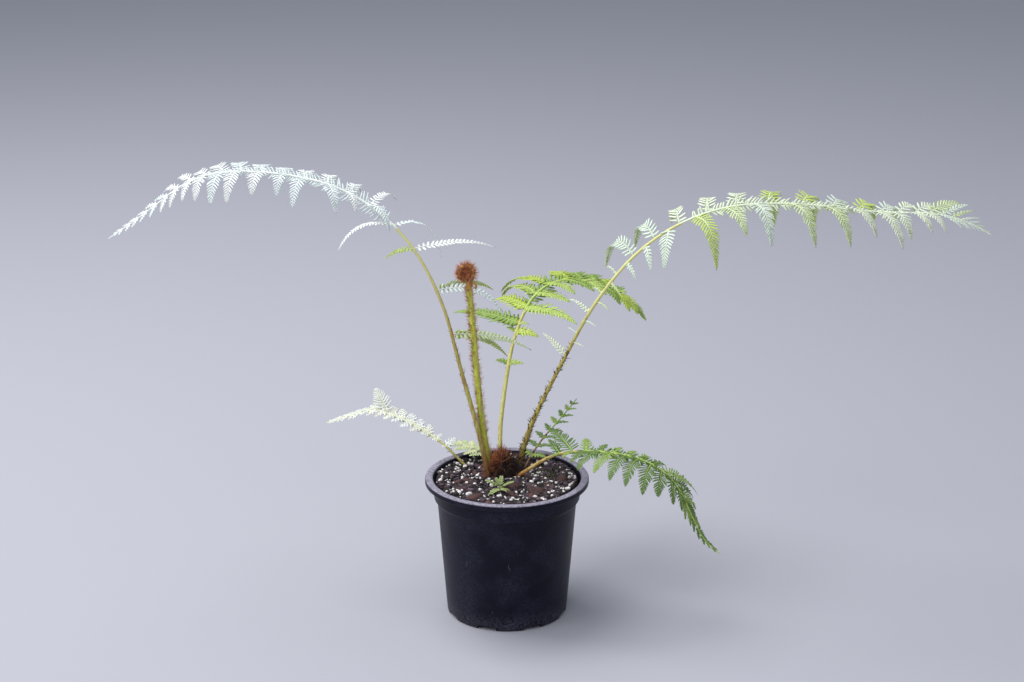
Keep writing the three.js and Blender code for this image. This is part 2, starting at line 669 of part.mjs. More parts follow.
// Furled frond: an upright stalk, and above it the coil, a tube on a shrinking spiral
function buildCrozier() {
  const rib = ribOf(CROZIER);
  const ground = soilHeight(CROZIER.x, CROZIER.y) + FOOT_GAP;
  const stalk = ribTube(CROZIER, rib, 0, 1, STALK_STEPS, STIPE_SIDES);
  addMesh('crozier_stalk', geometryOf(stalk.trimByPlane([0, 0, 1], ground)), STIPE_FINISH);
  const top = pointOnRib(rib, 1);
  const outward = direction(COIL.facingDeg, 0);
  const begin = radians(COIL.startDeg);
  const centre = top.clone().addScaledVector(outward, COIL.radius * Math.cos(begin))
    .addScaledVector(UP, COIL.radius * -Math.sin(begin) + COIL.seat);
  const path = [];
  const radii = [];
  for (let step = 0; step <= COIL.steps; step += 1) {
    const wound = (2 * Math.PI * COIL.turns * step) / COIL.steps;
    const turn = begin + wound;
    const shrink = Math.exp(-COIL.shrink * wound);
    path.push(centre.clone()
      .addScaledVector(outward, -COIL.radius * shrink * Math.cos(turn))
      .addScaledVector(UP, COIL.radius * shrink * Math.sin(turn)));
    const swell = Math.min(1, step / COIL.swellSteps);
    radii.push(mix(CROZIER.neckRadius, COIL.tubeRadius, swell) * shrink);
  }
  addMesh('crozier_coil', geometryOf(taperedTube(path, radii, COIL.sides)), HAIR_FINISH);
}

// Crown: a low dome of hair with tufts, cut clear of every stalk that passes through it
function buildCrown() {
  const size = new THREE.Vector3(CROWN.radius, CROWN.radius, CROWN.height);
  const base = new THREE.Vector3(CROWN.x, CROWN.y, soilHeight(CROWN.x, CROWN.y));
  const dome = new THREE.SphereGeometry(1, CROWN.sides, CROWN.rings).rotateX(Math.PI / 2);
  let crown = solidFromGeometry(dome.scale(...size).translate(...base));
  for (let tuft = 0; tuft < TUFTS.count; tuft += 1) {
    const pitch = TUFTS.lowestDeg + TUFTS.riseDeg * (tuft / TUFTS.count);
    const out = direction(TUFTS.turnDeg * tuft, pitch);
    const seat = out.clone().multiply(size).multiplyScalar(TUFTS.seat).add(base);
    const length = TUFTS.length * (1 + TUFTS.spread * scatter(TUFTS.seed, tuft));
    const tip = seat.clone().addScaledVector(out, length);
    crown = crown.add(taperedTube([seat, tip], [TUFTS.radius, TUFTS.tipRadius], TUFTS.sides));
  }
  crown = crown.trimByPlane([0, 0, 1], SOIL_EDGE_HEIGHT + SOIL_RISE + GAP);
  for (const stem of [...FRONDS, CROZIER]) {
    const wider = {
      ...stem, footRadius: stem.footRadius + BORE.gap, neckRadius: stem.neckRadius + BORE.gap,
    };
    const reach = stem.bladeStart ?? BORE.stalkShare;
    crown = crown.subtract(ribTube(wider, ribOf(stem), 0, reach, BORE.steps, BORE.sides));
  }
  addMesh('crown', geometryOf(crown), HAIR_FINISH);
}

// Seedling: a cluster of small toothed leaves on a stub
function buildSeedling() {
  const foot = new THREE.Vector3(SEEDLING.x, SEEDLING.y, soilHeight(SEEDLING.x, SEEDLING.y) + GAP);
  const head = foot.clone().addScaledVector(UP, SEEDLING.stubHeight);
  const stubRadii = [SEEDLING.stubRadius, SEEDLING.stubRadius];
  const plant = SEEDLING.headings.reduce((whole, heading, index) => whole.add(leaflet({
    root: head.clone().addScaledVector(UP, -SEEDLING.stubRadius),
    start: direction(heading, SEEDLING.pitch),
    widthways: direction(heading + 90, 0),
    length: SEEDLING.lengths[index],
    halfWidth: SEEDLING.widthShare * SEEDLING.lengths[index],
    teeth: SEEDLING.teeth,
    sag: SEEDLING.sag,
    level: 0,
  })), taperedTube([foot, head], stubRadii, SEEDLING.stubSides));
  addMesh('seedling', geometryOf(plant), FROND_FINISH);
}

buildPot();
buildSoil();
buildCrown();
buildCrozier();
FRONDS.forEach(buildFrond);
buildSeedling();

export default fern;
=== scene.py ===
"""A young tree fern in a black nursery pot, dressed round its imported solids.

Shapes are worked out in millimetres and turned to metres as each mesh is made. +Z is up, the
origin is the middle of the pot's underside, and the plant is seen along +Y. The fronds repeat
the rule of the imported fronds: a rib walked along headings and pitches, with leaflets in pairs.
"""

from __future__ import annotations

import logging
import math
from dataclasses import dataclass, replace
from enum import Enum
from itertools import combinations
from typing import Any, Mapping, Sequence

import bpy
import numpy as np
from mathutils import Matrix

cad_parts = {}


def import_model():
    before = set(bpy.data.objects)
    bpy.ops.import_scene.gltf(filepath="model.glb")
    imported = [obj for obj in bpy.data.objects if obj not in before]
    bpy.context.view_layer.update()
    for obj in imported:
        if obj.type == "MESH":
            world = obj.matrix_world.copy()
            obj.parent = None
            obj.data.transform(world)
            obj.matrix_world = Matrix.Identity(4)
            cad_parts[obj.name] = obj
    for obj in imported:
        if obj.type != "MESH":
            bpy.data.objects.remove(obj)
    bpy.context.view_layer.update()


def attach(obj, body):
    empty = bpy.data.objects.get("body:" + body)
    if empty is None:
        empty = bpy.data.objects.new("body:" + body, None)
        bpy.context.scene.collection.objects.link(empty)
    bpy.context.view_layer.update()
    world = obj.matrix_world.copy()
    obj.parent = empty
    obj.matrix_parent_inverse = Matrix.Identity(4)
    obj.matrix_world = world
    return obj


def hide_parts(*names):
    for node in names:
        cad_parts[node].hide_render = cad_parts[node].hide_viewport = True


LOG = logging.getLogger("fern")
Array = np.ndarray
Colour = tuple[float, float, float]
Stations = tuple[float, ...]

MM = 0.001
BODY = "root"
RIGHT = np.array([1.0, 0.0, 0.0])
AWAY = np.array([0.0, 1.0, 0.0])
UP = np.array([0.0, 0.0, 1.0])

# The photograph's frame and the camera fitted to the pot's rim and foot
PHOTO_WIDTH = 1024
FOCAL_PIXELS = 2150.0
SENSOR_MM = 36.0
CAMERA_DISTANCE = 1800.0
CAMERA_ELEVATION = 17.8
LOOK_POINT = (4.3, 0.0, 243.0)

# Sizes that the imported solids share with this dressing
RIM_RADIUS = 70.0
POT_HEIGHT = 122.0
BAND_RADIUS = 62.4
WALL = 1.5
SOIL_EDGE_HEIGHT = 114.5
SOIL_RISE = 3.5
SPINE_STEPS = 120
TIP_RADIUS = 0.4
ROOT_RISE = 0.8

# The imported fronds' rule: where the first and last pair stand, and how far a leaflet strays
FIRST_PAIR = 0.012
LAST_PAIR = 0.992
LENGTH_SEED = 20
LIFT_SEED = 40
SAG_SEED = 60
TURN_STRAY = 5.0
LENGTH_STRAY = 0.06
LIFT_STRAY = 0.06
SAG_STRAY = 0.3

# How far the dressed mix is banked up at the wall
MIX_BANK = 4.6

# A leaflet's fingers: leans in degrees, half thickness in millimetres, and the rest as shares
FINGER_LEAN = 66.0
ROOT_LEAN = 30.0
LEAN_STRAY = 5.0
FINGER_THICK = 0.16
FINGER_CURL = 0.16
FINGER_BEND = 0.16
FINGER_DROOP = 0.10
DROOP_STRAY = 0.08
REACH_STRAY = 0.07

# What is added to a frond's seed for each run of numbers that only the dressing draws
TINT_SEED = 100
LEAN_SEED = 120
REACH_SEED = 140
DROOP_SEED = 160
RAISE_SEED = 180
SCALE_SEED = 900

STALK_SIDES = 14


class Tone(Enum):
    """The leaf tints, from sRGB colours between 0 and 255."""

    # The next three tints are near white: where the left frond wears them they are painted glare, the bright
    # sky reflected on its glossy pale green leaflets.
    SILVER_GLARE = (236, 240, 234)
    FROST_GLARE = (222, 234, 230)
    PEARL = (238, 243, 236)
    SAGE = (216, 226, 196)
    MINT = (208, 224, 202)
    PALE = (200, 216, 160)
    GLOW = (186, 206, 104)
    FRESH = (174, 196, 100)
    LIME = (176, 196, 74)
    MEADOW = (132, 160, 66)
    DEEP = (90, 122, 42)
    DARK = (58, 92, 28)
    CREAM = (240, 242, 226)
    STRAW = (224, 228, 174)
    DULL = (152, 166, 104)


def linear(red: float, green: float, blue: float) -> Colour:
    """Turns an sRGB colour of 0 to 255 into the linear colour, of 0 to 1, that shaders take."""
    shares = [value / 255.0 for value in (red, green, blue)]
    return tuple(s / 12.92 if s <= 0.04045 else ((s + 0.055) / 1.055) ** 2.4 for s in shares)


# Numbers and vectors in arrays


def unit(vectors: Array) -> Array:
    """Returns the vectors of the last axis scaled to length 1."""
    return vectors / np.maximum(np.linalg.norm(vectors, axis=-1, keepdims=True), 1e-12)


def across(vectors: Array, along: Array) -> Array:
    """Returns what is left of the vectors square to the unit vectors along, at length 1."""
    return unit(vectors - np.sum(vectors * along, axis=-1, keepdims=True) * along)


def scatter(seed: float, index: Array) -> Array:
    """Gives a number of -1 to 1 for a seed and an index: twice the fraction of a steep sine, less 1."""
    wave = np.sin(seed * 127.1 + np.asarray(index, float) * 311.7) * 43758.5453
    return (wave - np.floor(wave)) * 2.0 - 1.0


def at_stations(stations: Sequence[float], share: Array) -> Array:
    """Reads values off evenly spaced stations at shares from 0 to 1."""
    return np.interp(share, np.linspace(0.0, 1.0, len(stations)), stations)


def smooth(values: Array, low: float, high: float) -> Array:
    """Rises smoothly from 0 at low to 1 at high, by 3t squared less 2t cubed."""
    t = np.clip((values - low) / (high - low), 0.0, 1.0)
    return t * t * (3.0 - 2.0 * t)


def directions(headings: Array, pitches: Array) -> Array:
    """Turns headings and pitches into unit vectors.

    Args:
        headings: Degrees from +X towards +Y.
        pitches: Degrees above the level.

    Returns:
        A unit vector for each heading and pitch.
    """
    heading, pitch = np.radians(headings), np.radians(pitches)
    level = np.cos(pitch)
    return np.stack([level * np.cos(heading), level * np.sin(heading), np.sin(pitch)], axis=-1)


def soil_height(x: Array, y: Array) -> Array:
    """Height of the potting mix: a low mound, the edge height plus the rise times cos squared."""
    share = np.minimum(np.hypot(x, y) / BAND_RADIUS, 1.0)
    return SOIL_EDGE_HEIGHT + SOIL_RISE * np.cos(share * math.pi / 2.0) ** 2


def on_mix(x: float, y: float) -> Array:
    """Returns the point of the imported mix's surface at x and y."""
    return np.array([x, y, float(soil_height(x, y))])


def mix_height(x: Array, y: Array) -> Array:
    """Height of the dressed mix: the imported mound, banked up a little towards the wall."""
    share = np.hypot(x, y) / BAND_RADIUS
    return soil_height(x, y) + MIX_BANK * smooth(share, 0.5, 0.96)


def value_noise(points: Array, cell: float, seed: int) -> Array:
    """Smooth noise from -1 to 1: random values at the corners of cubes, blended inside them.

    Args:
        points: Places, with x, y and z on the last axis.
        cell: Side of a cube.
        seed: Which noise.

    Returns:
        One number for each place.
    """
    place = np.asarray(points, float) / cell
    corner = np.floor(place)
    inside = place - corner
    blend = inside * inside * (3.0 - 2.0 * inside)
    total = np.zeros(place.shape[:-1])
    for step in np.ndindex(2, 2, 2):
        at = corner + np.array(step)
        index = at[..., 0] * 12.9898 + at[..., 1] * 78.233 + at[..., 2] * 37.719
        weight = np.prod(np.where(np.array(step) == 1, blend, 1.0 - blend), axis=-1)
        total += weight * scatter(seed, index)
    return total


# Meshes as arrays


def placed(name: str, data: bpy.types.ID) -> bpy.types.Object:
    """Makes an object and links it to the scene.

    Args:
        name: The object's name.
        data: What it shows, such as a mesh or a lamp.

    Returns:
        The object.
    """
    made = bpy.data.objects.new(name, data)
    bpy.context.scene.collection.objects.link(made)
    return made


@dataclass
class Shell:
    """Faces in arrays: points, the corners of every face in one run, and each face's finish."""

    points: Array
    corners: Array
    counts: Array
    finish: Array

    @staticmethod
    def joined(shells: Sequence["Shell"]) -> "Shell":
        """Joins shells into one, with each one's corners moved past the points before it.

        Args:
            shells: The shells, in order.

        Returns:
            One shell with all of them.
        """
        starts = np.cumsum([0] + [len(shell.points) for shell in shells[:-1]])
        return Shell(
            np.concatenate([shell.points for shell in shells]),
            np.concatenate([shell.corners + start for shell, start in zip(shells, starts)]),
            np.concatenate([shell.counts for shell in shells]),
            np.concatenate([shell.finish for shell in shells]),
        )

    def piece(self, name: str, finishes: Sequence["Finish"], slot: str, *nodes: str) -> bpy.types.Object:
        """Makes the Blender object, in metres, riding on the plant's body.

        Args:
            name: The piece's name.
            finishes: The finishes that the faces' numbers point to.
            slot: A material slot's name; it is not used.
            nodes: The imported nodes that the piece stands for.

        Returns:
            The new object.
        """
        mesh = bpy.data.meshes.new(name)
        mesh.vertices.add(len(self.points))
        mesh.vertices.foreach_set("co", (self.points * MM).astype(np.float32).ravel())
        mesh.loops.add(len(self.corners))
        mesh.loops.foreach_set("vertex_index", self.corners.astype(np.int32))
        mesh.polygons.add(len(self.counts))
        starts = np.concatenate([[0], np.cumsum(self.counts)[:-1]]).astype(np.int32)
        mesh.polygons.foreach_set("loop_start", starts)
        for finish in finishes:
            mesh.materials.append(finish.material())
        mesh.polygons.foreach_set("material_index", self.finish.astype(np.int32))
        mesh.update(calc_edges=True)
        mesh.validate()
        mesh.polygons.foreach_set("use_smooth", np.ones(len(mesh.polygons), bool))
        made = placed(name, mesh)
        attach(made, BODY)
        if nodes:
            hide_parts(*nodes)
        triangles = int(np.sum(self.counts - 2))
        LOG.info("%s: %d points, %d triangles", name, len(self.points), triangles)
        return made


def swept(
    centres: Array, wide: Array, facing: Array, half_width: Array, half_height: Array,
    section: Array, curl: float = 0.0, finish: Array | int = 0,
) -> Shell:
    """Carries a closed section along many paths at once, with flat ends.

    A point is the centre, plus the section's first number times the half width along wide, plus
    its second number times the half height along facing, less curl times the half width times
    the square of the first number along facing.

    Args:
        centres: Path points: shape, ring, xyz.
        wide: Unit vectors of the section's first axis, the same size.
        facing: Unit vectors of its second axis, the same size.
        half_width: Half widths: shape, ring.
        half_height: Half heights: shape, ring.
        section: The section's points, turning from wide towards facing.
        curl: How far the edges bend away from facing.
        finish: The finish of each section side for each shape, or one number.

    Returns:
        All the closed shapes.
    """
    shapes, rings = centres.shape[:2]
    sides = len(section)
    first = section[:, 0][None, None, :, None]
    second = section[:, 1][None, None, :, None]
    width = half_width[:, :, None, None]
    height = half_height[:, :, None, None]
    points = centres[:, :, None, :] + wide[:, :, None, :] * first * width
    points = points + facing[:, :, None, :] * (second * height - curl * width * first**2)
    base = (np.arange(shapes) * rings * sides)[:, None, None]
    ring = (np.arange(rings - 1) * sides)[None, :, None]
    near = base + ring + np.arange(sides)[None, None, :]
    next_side = base + ring + ((np.arange(sides) + 1) % sides)[None, None, :]
    quads = np.stack([near, next_side, next_side + sides, near + sides], axis=-1)
    start_cap = base[:, 0] + np.arange(sides)[::-1][None, :]
    end_cap = base[:, 0] + (rings - 1) * sides + np.arange(sides)[None, :]
    faces = shapes * (rings - 1) * sides
    kinds = np.broadcast_to(np.asarray(finish), (shapes, sides))
    return Shell(
        points.reshape(-1, 3),
        np.concatenate([quads.ravel(), start_cap.ravel(), end_cap.ravel()]),
        np.concatenate([np.full(faces, 4), np.full(2 * shapes, sides)]),
        np.concatenate([np.repeat(kinds[:, None, :], rings - 1, axis=1).ravel(), kinds[:, 0], kinds[:, 0]]),
    )


def round_section(sides: int) -> Array:
    """Returns a circle of radius 1 with that many points."""
    angle = np.arange(sides) * 2.0 * math.pi / sides
    return np.stack([np.cos(angle), np.sin(angle)], axis=1)


# A leaf's section: edges at plus and minus 1, a groove along the upper side and a keel below
LEAF_SECTION = np.array([
    [1.0, 0.0], [0.5, 0.9], [0.0, 0.5], [-0.5, 0.9],
    [-1.0, 0.0], [-0.5, -0.7], [0.0, -1.0], [0.5, -0.7],
])
SECTION_SIDES = np.array([0, 0, 0, 0, 1, 1, 1, 1])


def leafy(
    centres: Array, up: Array, half_width: Array, half_height: Array | float, curl: float,
    finish: Array,
) -> Shell:
    """Carries the leaf's section along many paths.

    Args:
        centres: Path points: shape, ring, xyz.
        up: The directions that the upper sides turn to.
        half_width: Half widths: shape, ring.
        half_height: Half heights: shape, ring, or one number.
        curl: How far the edges bend away from the upper side.
        finish: The finish of each section side for each shape.

    Returns:
        All the closed shapes.
    """
    along = unit(np.gradient(centres, axis=1))
    facing = across(up, along)
    height = np.broadcast_to(half_height, centres.shape[:2])
    return swept(
        centres, np.cross(facing, along), facing, half_width, height, LEAF_SECTION, curl, finish,
    )


def spokes(random: np.random.Generator, along: Array) -> Array:
    """Draws a direction square to each of the unit vectors along."""
    return across(random.normal(size=along.shape), along)


def tube(path: Array, radii: Array, sides: int, reference: Array, finish: int = 0) -> Shell:
    """Makes a round tube along one path.

    Args:
        path: Points of the middle line.
        radii: The radius at each point.
        sides: How many sides the section has.
        reference: The direction that turns the section.
        finish: The number of its finish.

    Returns:
        The closed tube.
    """
    along = unit(np.gradient(path, axis=0))
    wide = across(reference, along)
    facing = np.cross(along, wide)
    half = radii[None, :]
    return swept(path[None], wide[None], facing[None], half, half, round_section(sides), 0.0, finish)


@dataclass(frozen=True)
class Hair:
    """How a coat of hair is drawn: thin three-sided cones that bend as they grow."""

    length: float
    radius: float
    spread: float = 0.3
    droop: float = 0.2
    rings: int = 4
    sides: int = 3

    def grow(
        self, roots: Array, outward: Array, random: np.random.Generator, finish: Array | int = 0,
    ) -> Shell:
        """Grows one hair from each root: root plus length times (t out, less droop t squared up).

        Args:
            roots: Where the hairs start.
            outward: The way each one leaves.
            random: The seeded numbers.
            finish: The finish of each hair, or one number.

        Returns:
            All the hairs.
        """
        count = len(roots)
        out = unit(outward + self.spread * random.normal(size=(count, 3)))
        length = self.length * random.uniform(0.6, 1.25, count)
        bend = unit(random.normal(size=(count, 3)))
        t = np.linspace(0.0, 1.0, self.rings)[None, :, None]
        centres = roots[:, None] + length[:, None, None] * (
            t * out[:, None] + 0.18 * t**2 * bend[:, None] - self.droop * t**2 * UP
        )
        along = unit(np.gradient(centres, axis=1))
        wide = across(bend[:, None] + 0.01, along)
        facing = np.cross(along, wide)
        half = self.radius * (1.0 - 0.88 * t[..., 0])
        kinds = finish if np.ndim(finish) == 0 else np.asarray(finish)[:, None]
        return swept(centres, wide, facing, half, half, round_section(self.sides), 0.0, kinds)


# Shader maths


class Wire:
    """One socket of a shader, which Python's operators add Math nodes to."""

    def __init__(self, book: "NodeBook", socket: bpy.types.NodeSocket) -> None:
        """Keeps the socket and the node tree that it is in."""
        self.book = book
        self.socket = socket

    def _math(self, operation: str, other: "Wire | float", swapped: bool = False) -> "Wire":
        """Adds one Math node, with the other value first where they are swapped."""
        pair = [other, self] if swapped else [self, other]
        return self.book.node("ShaderNodeMath", {"operation": operation}, dict(enumerate(pair)))

    def __add__(self, other: "Wire | float") -> "Wire":
        """Adds."""
        return self._math("ADD", other)

    def __radd__(self, other: float) -> "Wire":
        """Adds, the number first."""
        return self._math("ADD", other, True)

    def __rsub__(self, other: float) -> "Wire":
        """Takes this from a number."""
        return self._math("SUBTRACT", other, True)

    def __mul__(self, other: "Wire | float") -> "Wire":
        """Multiplies."""
        return self._math("MULTIPLY", other)

    def __rmul__(self, other: float) -> "Wire":
        """Multiplies, the number first."""
        return self._math("MULTIPLY", other, True)

    def ramp(self, low: float, high: float) -> "Wire":
        """Rises smoothly from 0 at low to 1 at high."""
        inputs = {"Value": self, "From Min": low, "From Max": high}
        return self.book.node("ShaderNodeMapRange", {"interpolation_type": "SMOOTHSTEP"}, inputs)


class NodeBook:
    """A material's node tree, with one method that adds every kind of node."""

    def __init__(self, name: str) -> None:
        """Starts an empty node material.

        Args:
            name: The material's name.
        """
        self.material = bpy.data.materials.new(name)
        self.material.use_nodes = True
        self.tree = self.material.node_tree
        self.tree.nodes.clear()

    def node(
        self, kind: str, settings: Mapping[str, Any], inputs: Mapping[Any, Any], output: Any = 0,
    ) -> Wire:
        """Adds a node, sets it up and fills its sockets.

        Args:
            kind: Blender's name of the node's type.
            settings: The node's own settings, set before its sockets.
            inputs: A value or a wire for each socket, by its name or number.
            output: The output that is wanted, by name or number.

        Returns:
            The wanted output.
        """
        made = self.tree.nodes.new(kind)
        for key, value in settings.items():
            setattr(made, key, value)
        for key, value in inputs.items():
            if isinstance(value, Wire):
                self.tree.links.new(value.socket, made.inputs[key])
            else:
                made.inputs[key].default_value = value
        return Wire(self, made.outputs[output])

    def place(self, stretch: Sequence[float] = (1.0, 1.0, 1.0)) -> Wire:
        """Object coordinates in metres, scaled along each axis."""
        where = self.node("ShaderNodeTexCoord", {}, {}, "Object")
        return self.node("ShaderNodeMapping", {}, {"Vector": where, "Scale": tuple(stretch)})

    def noise(self, scale: float, detail: float = 2.0, stretch: Sequence[float] = (1.0, 1.0, 1.0)) -> Wire:
        """Noise from 0 to 1 at a number of bumps per metre."""
        inputs = {"Vector": self.place(stretch), "Scale": scale, "Detail": detail}
        return self.node("ShaderNodeTexNoise", {}, inputs, "Fac")

    def height(self) -> Wire:
        """The height above the pot's underside, in metres."""
        return self.node("ShaderNodeSeparateXYZ", {}, {0: self.place()}, "Z")

    def mix(self, share: Wire | float, first: Wire | Colour, second: Wire | Colour) -> Wire:
        """Mixes two colours.

        Args:
            share: How much of the second colour, from 0 to 1.
            first: The first colour.
            second: The second colour.

        Returns:
            The mixed colour.
        """
        inputs = {0: share}
        for key, value in ((6, first), (7, second)):
            inputs[key] = value if isinstance(value, Wire) else (*value, 1.0)
        return self.node("ShaderNodeMix", {"data_type": "RGBA"}, inputs, 2)

    def bump(self, height: Wire, depth: float, strength: float = 1.0) -> Wire:
        """A bumped normal from a height of 0 to 1 and a depth in millimetres."""
        inputs = {"Height": height, "Distance": depth * MM, "Strength": strength}
        return self.node("ShaderNodeBump", {}, inputs, "Normal")

    def finish(self, sockets: Mapping[str, Any]) -> bpy.types.Material:
        """Ends the tree in a Principled surface.

        Args:
            sockets: The Principled node's values and wires.

        Returns:
            The material.
        """
        surface = self.node("ShaderNodeBsdfPrincipled", {}, sockets)
        end = self.tree.nodes.new("ShaderNodeOutputMaterial")
        self.tree.links.new(surface.socket, end.inputs["Surface"])
        return self.material


@dataclass(frozen=True)
class Finish:
    """A named surface, whose material is made once and then shared."""

    name: str

    def sockets(self, book: NodeBook) -> dict[str, Any]:
        """Returns the Principled node's values and wires."""
        raise NotImplementedError

    def material(self) -> bpy.types.Material:
        """Finds the material, or makes it the first time.

        Returns:
            The material of the finish's name.
        """
        known = bpy.data.materials.get(self.name)
        if known is not None:
            return known
        book = NodeBook(self.name)
        return book.finish(self.sockets(book))


@dataclass(frozen=True)
class LeafFinish(Finish):
    """A leaf's surface: one tint, softly mottled, with a satin gloss and fine veins."""

    tone: Tone
    roughness: float = 0.42
    dim: float = 0.82

    def sockets(self, book: NodeBook) -> dict[str, Any]:
        """Adds the nodes.

        Args:
            book: The material's node tree.

        Returns:
            The Principled node's values and wires.
        """
        base = linear(*self.tone.value)
        shade = tuple(value * self.dim for value in base)
        mottle = book.noise(260.0, 3.0).ramp(0.35, 0.7)
        grain = book.noise(1900.0, 2.0)
        return {
            "Base Color": book.mix(mottle, base, shade),
            "Roughness": self.roughness + 0.16 * mottle,
            "Normal": book.bump(grain, 0.12, 0.5),
            "Subsurface Weight": 0.35,
            "Subsurface Radius": (1.0, 1.0, 1.0),
            "Subsurface Scale": 0.0008,
        }


@dataclass(frozen=True)
class StemFinish(Finish):
    """A stalk: streaks along it and dark flecks, brown at its foot and paler from a height on."""

    fresh: Colour
    streak: Colour
    fleck: Colour
    pale: Colour
    climb: tuple[float, float] = (0.2, 0.3)
    flecks: float = 0.68
    foot: Colour = (110, 66, 40)
    foot_top: float = 0.14
    patches: float = 300.0
    foot_bottom: float = 0.114

    def sockets(self, book: NodeBook) -> dict[str, Any]:
        """Adds the nodes.

        Args:
            book: The material's node tree.

        Returns:
            The Principled node's values and wires.
        """
        streaks = book.noise(420.0, 2.0, (1.0, 1.0, 0.12)).ramp(0.38, 0.66)
        spots = book.noise(self.patches, 4.0, (1.0, 1.0, 0.5)).ramp(self.flecks, self.flecks + 0.05)
        colour = book.mix(streaks, linear(*self.fresh), linear(*self.streak))
        low = book.height().ramp(self.foot_bottom, self.foot_top)
        colour = book.mix(low, linear(*self.foot), colour)
        colour = book.mix(spots, colour, linear(*self.fleck))
        return {
            "Base Color": book.mix(book.height().ramp(*self.climb), colour, linear(*self.pale)),
            "Roughness": 0.38 + 0.3 * spots,
            "Normal": book.bump(book.noise(900.0, 3.0, (1.0, 1.0, 0.2)), 0.25),
        }


@dataclass(frozen=True)
class RoughFinish(Finish):
    """Hair, bark, moss and crumbs: two colours in patches, and a rough, bumped surface."""

    light: Colour
    dark: Colour
    patches: float = 300.0
    roughness: float = 0.8
    depth: float = 0.3

    def sockets(self, book: NodeBook) -> dict[str, Any]:
        """Adds the nodes.

        Args:
            book: The material's node tree.

        Returns:
            The Principled node's values and wires.
        """
        patch = book.noise(self.patches, 3.0).ramp(0.35, 0.65)
        fine = book.noise(self.patches * 5.0, 3.0)
        return {
            "Base Color": book.mix(patch, linear(*self.light), linear(*self.dark)),
            "Roughness": self.roughness - 0.12 * fine,
            "Normal": book.bump(fine, self.depth),
        }


@dataclass(frozen=True)
class PlasticFinish(Finish):
    """The pot: satin black plastic with fine grain, dust on its rim and foot, and pale scuffs. Its rim's top
    face is also made pale as a painted highlight, and its blue is painted reflection of a blue sky.
    """

    # Painted reflection: the blue in black and sheen, and in the Specular Tint, stands in for a blue sky's
    # reflection on the black plastic.
    black: Colour = (8, 8, 20)
    sheen: Colour = (13, 14, 32)
    dust_and_highlight: Colour = (172, 166, 182)
    rim_dust_and_highlight: tuple[float, float] = (0.1208, 0.1219)
    foot_dust: tuple[float, float] = (0.002, 0.02)

    def sockets(self, book: NodeBook) -> dict[str, Any]:
        """Adds the nodes: dust grows towards the rim and the foot and gathers in patches, and the rim's top
        face takes the pale colour as dust and painted highlight.

        Args:
            book: The material's node tree.

        Returns:
            The Principled node's values and wires.
        """
        cloud = book.noise(38.0, 5.0).ramp(0.35, 0.75)
        speck = book.noise(620.0, 2.0)
        # Painted highlight: the rim's top face is made pale, partly dust and partly the bright sky's
        # reflection on it.
        rim = book.height().ramp(*self.rim_dust_and_highlight)
        foot = 1.0 - book.height().ramp(*self.foot_dust)
        flecks = book.noise(210.0, 3.0, (1.0, 1.0, 0.35)).ramp(0.7, 0.76)
        caught = 0.04 * cloud + 0.4 * rim + 0.09 * foot
        dust_and_highlight_share = speck.ramp(0.3, 0.66) * caught + 0.12 * flecks + 0.4 * rim
        body = book.mix(cloud, linear(*self.black), linear(*self.sheen))
        grain = book.noise(1500.0, 2.0)
        return {
            "Base Color": book.mix(dust_and_highlight_share, body, linear(*self.dust_and_highlight)),
            "Roughness": 0.38 + 0.12 * cloud + 0.4 * dust_and_highlight_share,
            "Normal": book.bump(grain, 0.05, 0.6),
            "Specular IOR Level": 0.2,
            "Specular Tint": (0.72, 0.8, 1.0, 1.0),
        }


# The finishes of the stalks and the hair

STALK_FINISH = StemFinish(
    "stalk_olive", (176, 164, 78), (146, 122, 54), (60, 34, 20), (214, 212, 136), (0.2, 0.3), 0.56,
    (96, 66, 40), 0.15, 150.0,
)
RED_STALK_FINISH = StemFinish(
    "stalk_ochre", (178, 172, 88), (160, 126, 62), (96, 56, 32), (216, 214, 146), (0.22, 0.34), 0.66,
    (104, 60, 36), 0.17,
)
FRESH_STALK_FINISH = StemFinish(
    "stalk_fresh", (196, 192, 112), (182, 168, 92), (124, 84, 44), (206, 208, 126), (0.2, 0.3), 0.74,
    (150, 132, 70), 0.14,
)
LOW_STALK_FINISH = StemFinish(
    "stalk_pale", (200, 176, 100), (174, 134, 72), (120, 64, 34), (180, 178, 92), (0.13, 0.17), 0.7,
    (176, 112, 62), 0.135,
)
SCALE_FINISH = RoughFinish("scale_brown", (92, 54, 30), (38, 24, 18), 700.0)
CROZIER_FINISH = StemFinish(
    "stalk_green", (198, 206, 70), (156, 166, 50), (136, 90, 46), (176, 120, 66), (0.274, 0.29), 0.72,
    (186, 172, 76), 0.13,
)
BRISTLE_FINISH = RoughFinish("bristle_pale", (250, 228, 214), (228, 180, 150), 500.0, 0.5)
RUST_FINISH = RoughFinish("hair_rust", (198, 116, 70), (138, 76, 46), 420.0, 0.55)
CINNAMON_FINISH = RoughFinish("hair_cinnamon", (234, 160, 108), (196, 116, 70), 420.0, 0.5)
COIL_FINISH = RoughFinish("coil_olive", (212, 152, 84), (134, 88, 46), 260.0, 0.5)
UMBER_FINISH = RoughFinish("hair_umber", (60, 36, 30), (26, 17, 16), 420.0, 0.65)


# The parts of the plant


